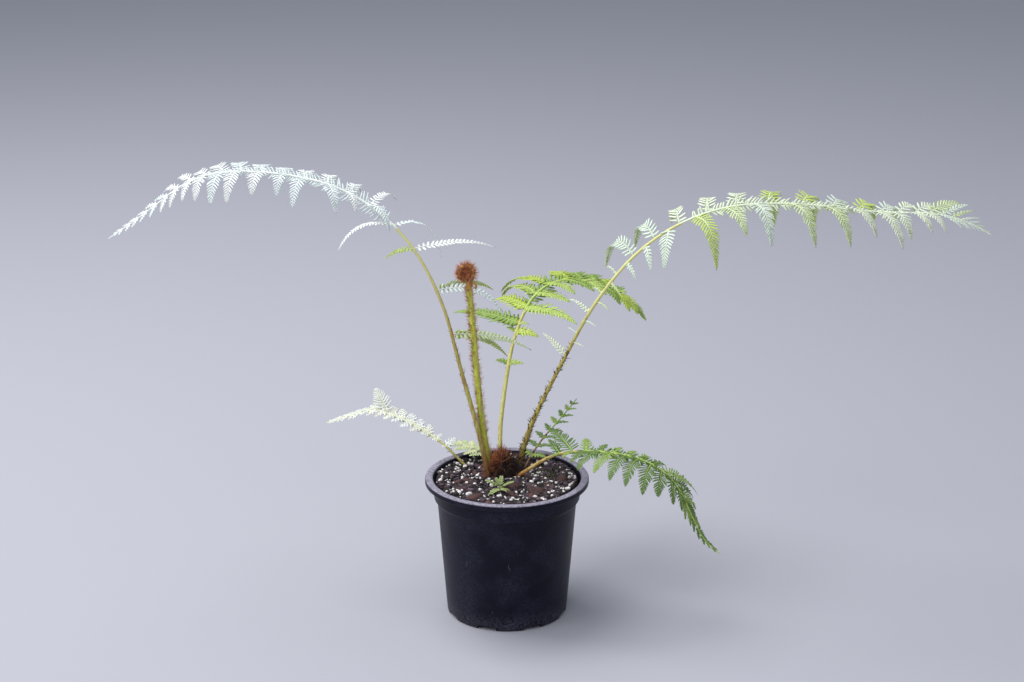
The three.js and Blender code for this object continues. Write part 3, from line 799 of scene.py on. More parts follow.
@dataclass(frozen=True)
class Stem:
    """A stem that rises from the mix: its foot, length and radii, and the way that it runs.

    Headings and pitches are in degrees at even stations from foot to tip.
    """

    x: float
    y: float
    length: float
    foot_radius: float
    neck_radius: float
    headings: Stations
    pitches: Stations

    def rib(self) -> Array:
        """Walks the middle line from the foot on the mix, in even steps along its directions.

        Returns:
            The points of the middle line, from foot to tip.
        """
        share = (np.arange(SPINE_STEPS) + 0.5) / SPINE_STEPS
        moves = directions(at_stations(self.headings, share), at_stations(self.pitches, share))
        foot = on_mix(self.x, self.y)
        return np.vstack([foot, foot + np.cumsum(moves * self.length / SPINE_STEPS, axis=0)])


def on_rib(rib: Array, share: Array) -> Array:
    """Reads points off a rib at shares of its length.

    Args:
        rib: The points of the rib.
        share: Shares of its length.

    Returns:
        A point for each share.
    """
    place = np.clip(share, 0.0, 1.0) * SPINE_STEPS
    steps = np.arange(SPINE_STEPS + 1)
    return np.stack([np.interp(place, steps, rib[:, axis]) for axis in range(3)], axis=-1)


@dataclass(frozen=True)
class Row:
    """One row of leaflets, in lists at even stations from the first pair to the last.

    Lengths are in millimetres, forward is the angle to the rib in degrees, roll turns the row
    about the rib, lift raises a leaflet as it leaves the rib, and sag bends it to the ground.
    """

    lengths: Stations
    forward: Stations
    lift: Stations
    sag: Stations
    roll: Stations = (0.0, 0.0)


@dataclass(frozen=True)
class Frond(Stem):
    """A frond: where its rib runs, how its leaflets stand, and its tints.

    Level turns each leaflet's own blade to the sky, at even stations from the first pair to the
    last. Places are the shares of the blade where the pairs stand, at even stations too. Nodes
    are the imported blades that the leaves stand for, and lit are the leaflets, counted two to a
    pair, that light shines through.
    """

    name: str
    blade_start: float
    nodes: tuple[str, ...]
    pairs: int
    places: Stations
    left: Row
    right: Row
    level: Stations
    seed: int
    slot: str
    tones: tuple[Tone, ...]
    under: Tone
    vein: Tone
    low_tones: tuple[Tone, ...] = ()
    low_share: float = 0.0
    lit: tuple[int, ...] = ()
    roughness: float = 0.42
    stem: StemFinish = STALK_FINISH
    scales: int = 60
    scale_size: tuple[float, float] = (3.0, 0.22)
    pitch: float = 3.3
    stagger: float = 0.0
    width_share: float = 0.27
    spacing_share: float = 0.9
    widest: float = 12.0
    finger_share: float = 0.36
    first_fill: float = 0.0
    most_fingers: int = 20
    unruly: float = 1.0
    fringe_reach: float = 0.0
    fringe_roll: float = 50.0
    fringe_end: float = 0.88
    slim: float = 1.0
    girth: Stations = (1.0, 1.0)
    web: float = 0.12
    lean_fall: float = 26.0
    rib_from: float = 0.5
    tangent_share: float = 0.01
    leaflet_steps: int = 20
    rings: tuple[float, ...] = (0.0, 0.25, 0.5, 0.72, 0.88, 1.0)

    def radius(self, share: Array) -> Array:
        """Thins the rib from foot to neck on the bare stalk, then on to the thin tip.

        Args:
            share: Shares of the rib's length.

        Returns:
            The radius at each share.
        """
        stalk = self.foot_radius + (self.neck_radius - self.foot_radius) * share / self.blade_start
        beyond = (share - self.blade_start) / (1.0 - self.blade_start)
        blade = self.neck_radius + (TIP_RADIUS - self.neck_radius) * beyond
        return np.where(share <= self.blade_start, stalk, blade)

    def pair_shares(self) -> Array:
        """Shares of the rib's length where the pairs stand."""
        along = at_stations(self.places, np.arange(self.pairs) / self.pairs)
        return self.blade_start + FIRST_PAIR + (LAST_PAIR - self.blade_start - FIRST_PAIR) * along

    def leaflets(self, rib: Array) -> dict[str, Array]:
        """Works out every leaflet's root, ribs and frames.

        The rib of a leaflet leaves along its start direction and turns to the ground by its
        sag times the square of the share along it. Its frame is wide, across the blade, and
        facing, out of its upper side.

        Args:
            rib: The frond's rib.

        Returns:
            Arrays by name, each with one row for each leaflet.
        """
        shares = self.pair_shares()
        pair = np.repeat(np.arange(self.pairs), 2)
        side = np.tile([1.0, -1.0], self.pairs)
        draw = 2 * pair + np.where(side > 0, 0, 1)
        step = pair / (self.pairs - 1)
        gaps = (np.append(shares[1:], 1.0) - shares)[pair]
        share = shares[pair] + np.where(side > 0, self.stagger, 0.0) * gaps
        spacing = gaps * self.length
        ahead = on_rib(rib, share + self.tangent_share)
        tangent = unit(ahead - on_rib(rib, share - self.tangent_share))
        beside = unit(np.stack([-tangent[:, 1], tangent[:, 0], np.zeros(len(pair))], axis=1))

        def row(name: str) -> Array:
            """Reads a row's list for each leaflet from the row that it stands in."""
            left = at_stations(getattr(self.left, name), step)
            return np.where(side > 0, left, at_stations(getattr(self.right, name), step))

        roll = np.radians(row("roll"))[:, None]
        rolled = np.cos(roll) * beside + np.sin(roll) * np.cross(tangent, beside)
        turn = np.radians(row("forward") + TURN_STRAY * scatter(self.seed, draw))[:, None]
        length = row("lengths") * (1.0 + LENGTH_STRAY * scatter(self.seed + LENGTH_SEED, draw))
        lift = row("lift") + LIFT_STRAY * scatter(self.seed + LIFT_SEED, draw)
        level = at_stations(self.level, step)
        out = np.cos(turn) * tangent + side[:, None] * np.sin(turn) * rolled
        start = unit(out + (lift - level * out[:, 2])[:, None] * UP)
        sag = row("sag") * (1.0 + SAG_STRAY * scatter(self.seed + SAG_SEED, draw))
        t = np.linspace(0.0, 1.0, self.leaflet_steps + 1)
        along = unit(start[:, None] - (sag[:, None] * t**2)[..., None] * UP)
        moves = along[:, :-1] * (length / self.leaflet_steps)[:, None, None]
        root = on_rib(rib, share) + ROOT_RISE * self.radius(share)[:, None] * UP
        ribs = np.concatenate([root[:, None], root[:, None] + np.cumsum(moves, axis=1)], axis=1)
        blade = across(-side[:, None] * tangent, start)
        sky = across(np.cross(UP, start), start)
        turned = level[:, None] * smooth(t, -0.15, 0.1)[None, :]
        wide = across(blade[:, None] + turned[..., None] * (sky - blade)[:, None], along)
        facing = np.cross(along, wide)
        slim = self.slim + (1.0 - self.slim) * smooth(length, 16.0, 38.0)
        half = np.minimum(self.width_share * length * slim, self.spacing_share * spacing) + 0.5
        half = np.minimum(half, self.widest) * at_stations(self.girth, step)
        fill = self.finger_share + self.first_fill * (1.0 - smooth(step, 0.1, 0.25))
        return {
            "ribs": ribs, "along": along, "wide": wide, "facing": facing, "length": length,
            "half": half, "draw": draw, "step": step, "fill": fill,
        }

    def outline(self, t: Array) -> Array:
        """Half width of a leaflet as a share of its greatest, from root to tip."""
        return (1.0 - t) ** 0.8 * np.minimum(1.0, 0.9 + 0.5 * t)

    def tints(self, leaflets: Mapping[str, Array]) -> Array:
        """Deals the tints out to the leaflets: one number for each one's upper and lower side.

        The tints are numbered in one run: tones, then low_tones for the leaflets below a share
        of the blade, then under, GLOW for the ones that light shines through, and the vein's.

        Args:
            leaflets: The leaflets' arrays.

        Returns:
            Two numbers for each leaflet, of its upper and its lower side.
        """
        draws = np.minimum(scatter(self.seed + TINT_SEED, leaflets["draw"]) * 0.5 + 0.5, 0.999)
        low = leaflets["step"] < self.low_share
        tones, low_tones = len(self.tones), len(self.low_tones)
        upper = np.where(low, tones + (draws * low_tones).astype(int), (draws * tones).astype(int))
        # GLOW, on the lit leaflets and on the under sides of the low ones, is painted light shining through
        # the leaf.
        lit = np.isin(leaflets["draw"], self.lit)
        under = np.where(lit | low, tones + low_tones + 1, tones + low_tones)
        return np.stack([np.where(lit, tones + low_tones + 1, upper), under], axis=1)

    def fingers(self, leaflets: Mapping[str, Array], tints: Array) -> Shell:
        """Makes the narrow rounded fingers that a leaflet is cut into, on both edges.

        A finger's middle line leaves the leaflet's rib at an angle, bends towards the leaflet's
        tip and droops by the square of its share; its width keeps even and ends in a half round.

        Args:
            leaflets: The leaflets' arrays.
            tints: The tints of each leaflet's two sides.

        Returns:
            All the fingers.
        """
        length = leaflets["length"]
        count = np.clip(np.round(length / self.pitch), 3, self.most_fingers).astype(int)
        leaf = np.repeat(np.arange(len(length)), 2 * count)
        order = np.concatenate([np.tile(np.arange(n), 2) for n in count])
        edge = np.concatenate([np.repeat([1.0, -1.0], n) for n in count])
        each = count[leaf]
        t = 0.05 + 0.9 * (1.0 - (1.0 - (order + 0.35 + 0.15 * edge) / each) ** 1.08)
        place = t * self.leaflet_steps
        low = np.minimum(place.astype(int), self.leaflet_steps - 1)
        share = (place - low)[:, None]

        def read(name: str) -> Array:
            """Reads a leaflet array at each finger's place."""
            values = leaflets[name]
            return values[leaf, low] * (1.0 - share) + values[leaf, low + 1] * share

        root = read("ribs")
        along = unit(read("along"))
        wide = across(read("wide"), along) * edge[:, None]
        facing = across(read("facing"), along)
        index = np.arange(len(leaf))
        lean = FINGER_LEAN - self.lean_fall * t + ROOT_LEAN * (1.0 - smooth(t, 0.02, 0.25))
        angle = np.radians(lean + LEAN_STRAY * self.unruly * scatter(self.seed + LEAN_SEED, index))[:, None]
        reach = leaflets["half"][leaf] * self.outline(t) * (0.85 + 0.3 * smooth(t, 0.0, 0.3))
        reach = reach * (1.0 + REACH_STRAY * self.unruly * scatter(self.seed + REACH_SEED, index)) + 0.5
        gap = length[leaf] / each * np.minimum(np.sin(angle[:, 0]), 0.9)
        half = np.minimum(leaflets["fill"][leaf] * gap, 0.42 * reach)
        out = np.cos(angle) * along + np.sin(angle) * wide
        u = np.array(self.rings)[None, :, None]
        droop = (FINGER_DROOP + DROOP_STRAY * scatter(self.seed + DROOP_SEED, index))[:, None, None]
        raised = (FINGER_DROOP + DROOP_STRAY * scatter(self.seed + RAISE_SEED, index))[:, None, None]
        bend = FINGER_BEND * u**2 * along[:, None]
        centres = root[:, None] + reach[:, None, None] * (
            u * out[:, None] + bend + (raised * u - droop * u**2) * facing[:, None]
        )
        ring = np.array(self.rings)[None, :]
        tip = np.sqrt(1.0 - 0.93 * (np.maximum(0.0, ring - 0.55) / 0.45) ** 2)
        width = half[:, None] * np.minimum(1.0, 0.86 + 0.4 * ring) * tip
        kinds = tints[leaf][:, SECTION_SIDES]
        return leafy(centres, facing[:, None], width, FINGER_THICK * tip, FINGER_CURL, kinds)

    def fringe(self, rib: Array, tints: Array) -> Shell:
        """Grows short fingers along the rib between the leaflets, by the leaflets' own rule.

        The rib beyond rib_from is taken as one long leaflet whose blade is rolled about it, so
        that its far fingers stand up and its near ones hang.

        Args:
            rib: The frond's rib.
            tints: The tints of each leaflet's two sides.

        Returns:
            All the fingers.
        """
        span = self.fringe_end - self.rib_from
        share = self.rib_from + span * np.linspace(0.0, 1.0, self.leaflet_steps + 1)
        ribs = on_rib(rib, share)[None]
        along = unit(np.gradient(ribs, axis=1))
        beside = across(np.cross(UP, along), along)
        roll = math.radians(self.fringe_roll)
        wide = math.cos(roll) * beside + math.sin(roll) * np.cross(along, beside)
        leaf = {
            "ribs": ribs, "along": along, "wide": wide, "facing": np.cross(along, wide),
            "length": np.array([self.length * span]),
            "half": np.array([self.fringe_reach]),
            "fill": np.array([self.finger_share]),
        }
        return replace(self, most_fingers=400, unruly=4.0).fingers(leaf, tints[-1:])

    def wings(self, leaflets: Mapping[str, Array], tints: Array) -> Shell:
        """Makes the narrow blade along each leaflet's rib, wide where the fingers run together.

        Args:
            leaflets: The leaflets' arrays.
            tints: The tints of each leaflet's two sides.

        Returns:
            One wing for each leaflet.
        """
        t = np.linspace(0.0, 1.0, self.leaflet_steps + 1)[None, :]
        small = smooth(-leaflets["length"], -30.0, -12.0)[:, None]
        late = smooth(t, 0.7, 1.0)
        share = self.web + (0.5 - self.web) * late + (0.57 - self.web) * small * (1.0 - late)
        root = smooth(t, 0.0, 0.06)
        outline = leaflets["half"][:, None] * self.outline(np.minimum(t, 0.985))
        width = outline * share * (0.3 + 0.7 * root) + 0.3
        frames = (leaflets["ribs"], leaflets["wide"], leaflets["facing"])
        return swept(*frames, width, 0.2 - 0.08 * t, LEAF_SECTION, 0.1, tints[:, SECTION_SIDES])

    def midribs(self, leaflets: Mapping[str, Array]) -> Shell:
        """Makes each leaflet's own rib: a thin round cord that tapers to its tip.

        Args:
            leaflets: The arrays of the leaflets.

        Returns:
            All the leaflets' ribs.
        """
        t = np.linspace(0.0, 1.0, self.leaflet_steps + 1)[None, :]
        radius = (0.18 + 0.005 * leaflets["length"])[:, None] * (1.0 - 0.75 * t)
        frames = (leaflets["ribs"], leaflets["wide"], leaflets["facing"])
        vein = len(self.tones) + len(self.low_tones) + 2
        return swept(*frames, radius, radius, round_section(5), 0.0, vein)

    def stalk(self, rib: Array) -> Shell:
        """Makes the rib from foot to tip with shallow ridges and a swelling where each pair joins.

        Beyond rib_from, and at its tip, it takes the vein's finish.

        Args:
            rib: The frond's rib.

        Returns:
            The rib's tube.
        """
        share = np.linspace(0.0, 1.0, 3 * SPINE_STEPS + 1)
        path = on_rib(rib, share)
        knots = np.min(np.abs(share[:, None] - self.pair_shares()[None, :]), axis=1) * self.length
        radii = self.radius(share) * (1.0 + 0.16 * np.exp(-((knots / 2.2) ** 2)))
        shell = tube(path, radii, STALK_SIDES, AWAY)
        shell.finish[:-2] = np.repeat(np.where(share[1:] > self.rib_from, 2, 0), STALK_SIDES)
        shell.finish[-1] = 2
        out = unit(shell.points - np.repeat(path, STALK_SIDES, axis=0))
        relief = 0.05 * value_noise(shell.points * [1.0, 1.0, 0.25], 1.1, self.seed)
        shell.points = shell.points + out * relief[:, None] * np.repeat(radii, STALK_SIDES)[:, None]
        return shell

    def flecks(self, rib: Array) -> Shell:
        """Lays small dark scales on the lower stalk, each a short flat leaf pressed to it.

        Args:
            rib: The frond's rib.

        Returns:
            All the scales.
        """
        random = np.random.default_rng(SCALE_SEED + self.seed)
        share = self.blade_start * 1.3 * random.beta(0.9, 1.5, self.scales)
        centre = on_rib(rib, share)
        along = unit(on_rib(rib, share + 0.01) - on_rib(rib, share - 0.01))
        out = spokes(random, along)
        root = centre + out * (self.radius(share) * 0.92)[:, None]
        hair = Hair(*self.scale_size, spread=0.35, droop=0.1)
        return hair.grow(root, out * 0.8 + along * 0.9, random, 1)

    def build(self) -> None:
        """Builds the leaves and the stems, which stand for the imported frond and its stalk."""
        rib = self.rib()
        leaflets = self.leaflets(rib)
        tints = self.tints(leaflets)
        finishes = self.finishes()
        blades = [self.fingers(leaflets, tints), self.wings(leaflets, tints), self.midribs(leaflets)]
        if self.fringe_reach > 0.0:
            blades.append(self.fringe(rib, tints))
        Shell.joined(blades).piece(f"leaves_{self.name}", finishes, self.slot, *self.nodes)
        stems = Shell.joined([self.stalk(rib), self.flecks(rib)])
        kinds = [self.stem, SCALE_FINISH, finishes[-1]]
        stems.piece(f"stems_{self.name}", kinds, "stipe", f"stipe_{self.name}")

    def finishes(self) -> list[Finish]:
        """Lists the leaves' finishes: upper sides, then the under side, the lit one and the veins.

        Returns:
            The finishes in the order of their numbers.
        """
        upper = self.tones + self.low_tones
        found = [LeafFinish(f"leaf_{tone.name.lower()}", tone, self.roughness) for tone in upper]
        for tone in (self.under, Tone.GLOW):
            found.append(LeafFinish(f"leaf_under_{tone.name.lower()}", tone, 0.55))
        return found + [LeafFinish(f"leaf_vein_{self.vein.name.lower()}", self.vein, 0.4, 0.94)]


# How both rows of the left frond turn over from its rise to its tip
ARCH_ROLL = (-42, -20, -10, 0, 0, -2, -5, -8, -12, -16, -20, -22, -23, -24, -24, -24, -24)

FRONDS = (
    Frond(
        name="left", x=-16, y=8, length=504, foot_radius=2.4, neck_radius=1.5,
        headings=(140, 149, 152, 165, 169, 175, 181, 185, 190),
        pitches=(77, 71, 74.5, 60.5, 37, 12, 0, -38, -32),
        blade_start=0.241, nodes=("frond_left_rise", "frond_left_arch", "frond_left_tip"),
        pairs=22, places=(0, 0.215, 0.355, 0.465, 0.562, 0.66, 0.742, 0.814, 0.876, 0.929, 0.973, 1),
        left=Row(
            lengths=(
                62, 52, 28, 62, 36, 24, 38, 36, 27, 31, 44, 40, 28, 24, 20, 17, 14, 12, 10, 8, 6, 4,
            ),
            forward=(
                106, 90, 80, 72, 145, 130, 122, 72, 70, 66, 70, 70, 64, 56, 48, 42, 37, 34, *[32] * 4,
            ),
            roll=(145, 130, -60, -50, -50, *ARCH_ROLL),
            lift=(-0.2, 0, 0.1, 0.3, 0.1, 0.1, 0.15, *[0.2] * 5, 0.1, 0.1, *[0] * 8),
            sag=(1, 1, 1, 2, 4, 4, 4, 5, 5.5, 6, 6, 6, 5, 3.5, 2.5, 1.5, 0.8, 0.4, 0.3, 0.3, 0.2, 0.2),
        ),
        right=Row(
            lengths=(
                77, 70, 76, 67, 42, 38, 36, 34, 34, 34, 32, 30, 26, 23, 20, 17, 14, 12, 10, 8, 6, 4,
            ),
            forward=(95, 92, 82, 108, *[80] * 5, 78, 72, 66, 60, 54, 48, 42, 36, 34, *[32] * 4),
            roll=(-50, -66, -66, -50, -50, *ARCH_ROLL),
            lift=(-0.2, -0.1, -0.08, 0.1, 0.15, *[0.2] * 9, 0.15, 0.1, 0.1, *[0] * 5),
            sag=(0.6, 2.2, 0.6, 4.5, *[2.5] * 6, 2, 2, 1.5, 1.2, 1, 0.8, 0.6, 0.4, 0.3, 0.2, 0.2, 0.2),
        ),
        level=(0.45, 0.45, 0.7, 1, 0.86, 0.79, 0.64, 0.5, 0.36, 0.21, 0.07, *[0] * 11),
        seed=1, spacing_share=1.3, width_share=0.32, widest=9.5, rib_from=0.46, pitch=2.8, slim=0.6,
        finger_share=0.29, first_fill=0.13, web=0.09, lean_fall=14.0,
        girth=(0.55, 0.6, 0.85, 1, 1, 1, 0.85, 0.8),
        # The left frond's near-white tints, its under side and its vein are painted glare: the bright sky
        # reflected on glossy pale green leaflets.
        low_tones=(Tone.PALE, Tone.SAGE, Tone.FROST_GLARE), low_share=0.07,
        fringe_reach=8.5, fringe_roll=-50.0, lit=(4,),
        slot="frond_left", tones=(Tone.SILVER_GLARE, Tone.FROST_GLARE, Tone.PEARL),
        under=Tone.FROST_GLARE, vein=Tone.SILVER_GLARE, roughness=0.36, stem=RED_STALK_FINISH, scales=150,
    ),
    Frond(
        name="right", x=9, y=26, length=528, foot_radius=2.6, neck_radius=1.6,
        headings=(23, 13, 6, 1, -2, -2, -5, -11, -15),
        pitches=(77, 63, 63, 51, 28, 3, -7, 4, -32),
        blade_start=0.18, nodes=("frond_right_rise", "frond_right_arch", "frond_right_tip"),
        pairs=24,
        places=(0, 0.102, 0.196, 0.3, 0.416, 0.535, 0.672, 0.772, 0.842, 0.897, 0.938, 0.97, 1),
        left=Row(
            lengths=(
                30, 10, 24, 14, 16, 58, 48, 36, 44, 46, 60, 56,
                44, 38, 34, 32, 32, 32, 28, 23, 17, 12, 8, 5,
            ),
            forward=(
                70, 98, 98, 95, 95, 102, 95, 85, 80, 76, 70, 68, 66, 62, 58, 52, 44, 40, 36, *[34] * 5,
            ),
            roll=(50, 50, 30, 8, 5, 10, 20, 22),
            lift=(0.4, 0.5, 0.35, 0.4, 0.4, 0.35, 0.2, 0),
            sag=(0.3, 0.5, 1, 1.5, 2, 5, 6, 5, 6, 7, 9, 9, 7, 5, 4, 3, 2, 1, 0.6, 0.4, *[0.3] * 4),
        ),
        right=Row(
            lengths=(
                10, 12, 14, 16, 18, 20, 26, 40, 56, 44, 52, 56,
                50, 45, 50, 38, 34, 30, 27, 22, 17, 12, 8, 5,
            ),
            forward=(
                85, 85, 90, 90, 95, 95, 105, 112, 62, 62, 62, 54,
                50, 48, 50, 50, 46, 44, 40, 38, 36, 34, 34, 34,
            ),
            roll=(50, 50, 30, 8, 5, 10, 20, 22),
            lift=(0.1, 0.1, 0.1, 0.15, 0.2, 0.2, 0.15, 0.1, 0),
            sag=(
                *[0.5] * 4, 1, 1.5, 2, 3, 6, 3, 4, 3.5, 3, 2.5, 3, 3, 2, 1.5, 1, 0.6, 0.4, 0.3, 0.3, 0.3,
            ),
        ),
        level=(0.8, *[0] * 6), stagger=0.4, seed=2, spacing_share=1.2,
        width_share=0.32, widest=10.5, pitch=3.0, slim=0.3, lit=(17, 20, 22, 26),
        girth=(0.6, 0.6, 0.7, 0.8, 0.9, 1, 1, 0.92, 0.8, 0.66, 0.54, 0.5), fringe_reach=8.0,
        slot="frond_right", tones=(Tone.SAGE, Tone.MINT, Tone.SAGE, Tone.PALE, Tone.MINT),
        under=Tone.PALE, vein=Tone.SAGE, scales=260, scale_size=(3.4, 0.42),
    ),
    Frond(
        name="back", x=-4, y=22, length=299, foot_radius=2.1, neck_radius=1.7,
        headings=(106, 78, 73, 50, 27, 26, 26), pitches=(59, 58, 56, 48, -3, -35, -46),
        blade_start=0.31, nodes=("frond_back_rise", "frond_back_arch"),
        pairs=14,
        places=(
            0, 0.15, 0.19, 0.268, 0.352, 0.435, 0.515, 0.59, 0.666, 0.735, 0.8, 0.86, 0.912, 0.956, 1,
        ),
        left=Row(
            lengths=(13, 10, 68, 52, 62, 72, 46, 42, 42, 42, 38, 30, 22, 12),
            forward=(88, 88, 100, 80, 78, 95, 78, 72, 70, 68, 66, 64, 62, 60),
            lift=(0.3, 0.3, 0.15, 0.15, 0.15, 0, 0.1, *[0.15] * 5, 0.1, 0.1),
            sag=(0.5, 0.5, 0.4, 1.2, 1.4, 1.2, 1.2, 1.2, 1, 0.8, 0.7, 0.6, 0.5, 0.5),
        ),
        right=Row(
            lengths=(13, 22, 10, 57, 36, 34, 34, 36, 38, 38, 34, 28, 20, 10),
            forward=(88, 92, 88, 95, 78, *[75] * 4, 74, 72, 70, 68, 66),
            lift=(0.2, 0.1, 0.1, 0, 0, 0), sag=(0.5, 0.6, 0.8, 1.2, 2, 1.5),
        ),
        level=(0, 0.2, 0.6, 0.7, 0.9, 1, 1, 0.95, 0.86, 0.77, 0.67, 0.55, 0.42, 0.3), seed=3,
        slot="frond_back", tones=(Tone.FRESH, Tone.MEADOW, Tone.LIME), under=Tone.LIME, vein=Tone.FRESH,
        stem=FRESH_STALK_FINISH, scales=20, width_share=0.36, spacing_share=1.4,
        web=0.6, slim=0.6, fringe_reach=11.0, fringe_roll=25.0,
    ),
    Frond(
        name="low_right", x=8, y=8, length=226, foot_radius=1.7, neck_radius=1.3,
        headings=(-31, -19, -15, -14, -14, -16, -22, -24, -16),
        pitches=(39, 37, 12, 0, -10, -36, -64, -62, -26),
        blade_start=0.2, nodes=("frond_low_right_rise", "frond_low_right_tip"),
        pairs=18, places=(0, 0.243, 0.472, 0.682, 0.866, 1),
        left=Row(
            lengths=(20, 46, 22, 16, 15, 15, 16, 20, 48, 34, 26, 20, 16, 13, 11, 9, 7, 5),
            forward=(130, 132, 105, 76, 68, 62, 58, 54, 46, 40, 34, 30, 28, 26, *[25] * 4),
            roll=(0, 0, 5, 10, 10), lift=(0.4, 0.3, *[0] * 4), sag=(0.4, 0.6, 1, 1, 0.2, 0.3),
        ),
        right=Row(
            lengths=(10, 16, 24, 32, 34, 38, 38, 34, 28, 24, 20, 17, 14, 12, 10, 8, 6, 5),
            forward=(115, 115, 114, 114, 112, 108, 104, 96, 84, 60, 42, 34, 30, 28, 26, 25, 25, 25),
            roll=(0, 0, 5, 10, 10), lift=(0.1, 0.1, 0.1, 0, 0, 0), sag=(0.5, 1.5, 2.5, 2, 0.5, 0.3),
        ),
        level=(0.8, 0.4, 0, 0, 0), seed=4,
        slot="frond_low_right", tones=(Tone.DEEP, Tone.MEADOW, Tone.DEEP), under=Tone.DARK,
        vein=Tone.FRESH, roughness=0.3, pitch=2.5, stem=LOW_STALK_FINISH,
        width_share=0.36, spacing_share=1.3, widest=10.0, rib_from=0.3, slim=0.7,
        fringe_reach=6.0, fringe_roll=30.0,
    ),
    Frond(
        name="low_left", x=-33, y=31, length=147, foot_radius=1.3, neck_radius=1.0,
        headings=(167, 156, 160, 164, 170, 175), pitches=(50, 34, 24, 14, -21, -23),
        blade_start=0.18, nodes=("frond_low_left_blade",),
        pairs=16, places=(0, 0.252, 0.485, 0.696, 0.877, 1),
        left=Row(
            lengths=(4, 6, 9, 11, *[12] * 5, 11, 10, 9, 8, 6, 5, 4),
            forward=(50, 45, 42, 38, 35), roll=(-10, -10), lift=(0.1, 0.1, 0, 0), sag=(0.5, 1, 1, 0.3),
        ),
        right=Row(
            lengths=(11, 7, 10, 11, 12, 12, 12, 23, 11, 10, 9, 8, 7, 6, 5, 4),
            forward=(128, 90, 64, 60, 60, 58, 54, 30, 40, 36, *[35] * 6), roll=(-10, -10),
            lift=(0.9, 0.4, 0.5, 0.4, 0.4, 0.4, 0.3, 1, 0.1, *[0] * 7), sag=(0.3, 0.4, 0.3, 0.2),
        ),
        level=(0.2, 0.2, 0, 0), seed=5,
        slot="frond_low_left", tones=(Tone.CREAM, Tone.PEARL, Tone.CREAM), under=Tone.FRESH,
        vein=Tone.STRAW, pitch=2.4, stem=FRESH_STALK_FINISH, scales=30, width_share=0.4,
        spacing_share=1.2, rib_from=0.26, web=0.3, fringe_reach=3.5, fringe_roll=-40.0,
    ),
    Frond(
        name="small_right", x=15, y=31, length=84, foot_radius=1.1, neck_radius=0.8,
        headings=(58, 44, 46), pitches=(43, 30, 33), blade_start=0.16,
        nodes=("frond_small_right_blade",), pairs=8, places=(0, 0.292, 0.565, 0.811, 1),
        left=Row(lengths=(17, 14, 13, 11, 6), forward=(75, 50), lift=(0.15, 0.1), sag=(0.4, 0.3)),
        right=Row(lengths=(17, 12, 13, 10, 6), forward=(75, 50), lift=(0.15, 0.1), sag=(0.8, 0.3)),
        level=(0.4, 0.5), seed=6,
        slot="frond_low_right", tones=(Tone.MEADOW, Tone.DEEP), under=Tone.DEEP,
        vein=Tone.MEADOW, pitch=2.6, scales=16, width_share=0.2,
    ),
    Frond(
        name="small_left", x=-13, y=34, length=52, foot_radius=0.9, neck_radius=0.7,
        headings=(130, 150, 165), pitches=(48, 12, -5), blade_start=0.3,
        nodes=("frond_small_left_blade",), pairs=7, places=(0, 0.271, 0.533, 0.782, 1),
        left=Row(lengths=(14, 15, 12, 5), forward=(75, 50), lift=(0.1, 0.1), sag=(0.4, 0.3)),
        right=Row(lengths=(14, 15, 12, 5), forward=(75, 50), lift=(0.1, 0.1), sag=(0.4, 0.3)),
        level=(0.5, 0.2), seed=7,
        slot="frond_low_left", tones=(Tone.STRAW, Tone.PALE), under=Tone.FRESH,
        vein=Tone.STRAW, pitch=2.4, scales=10,
    ),
)


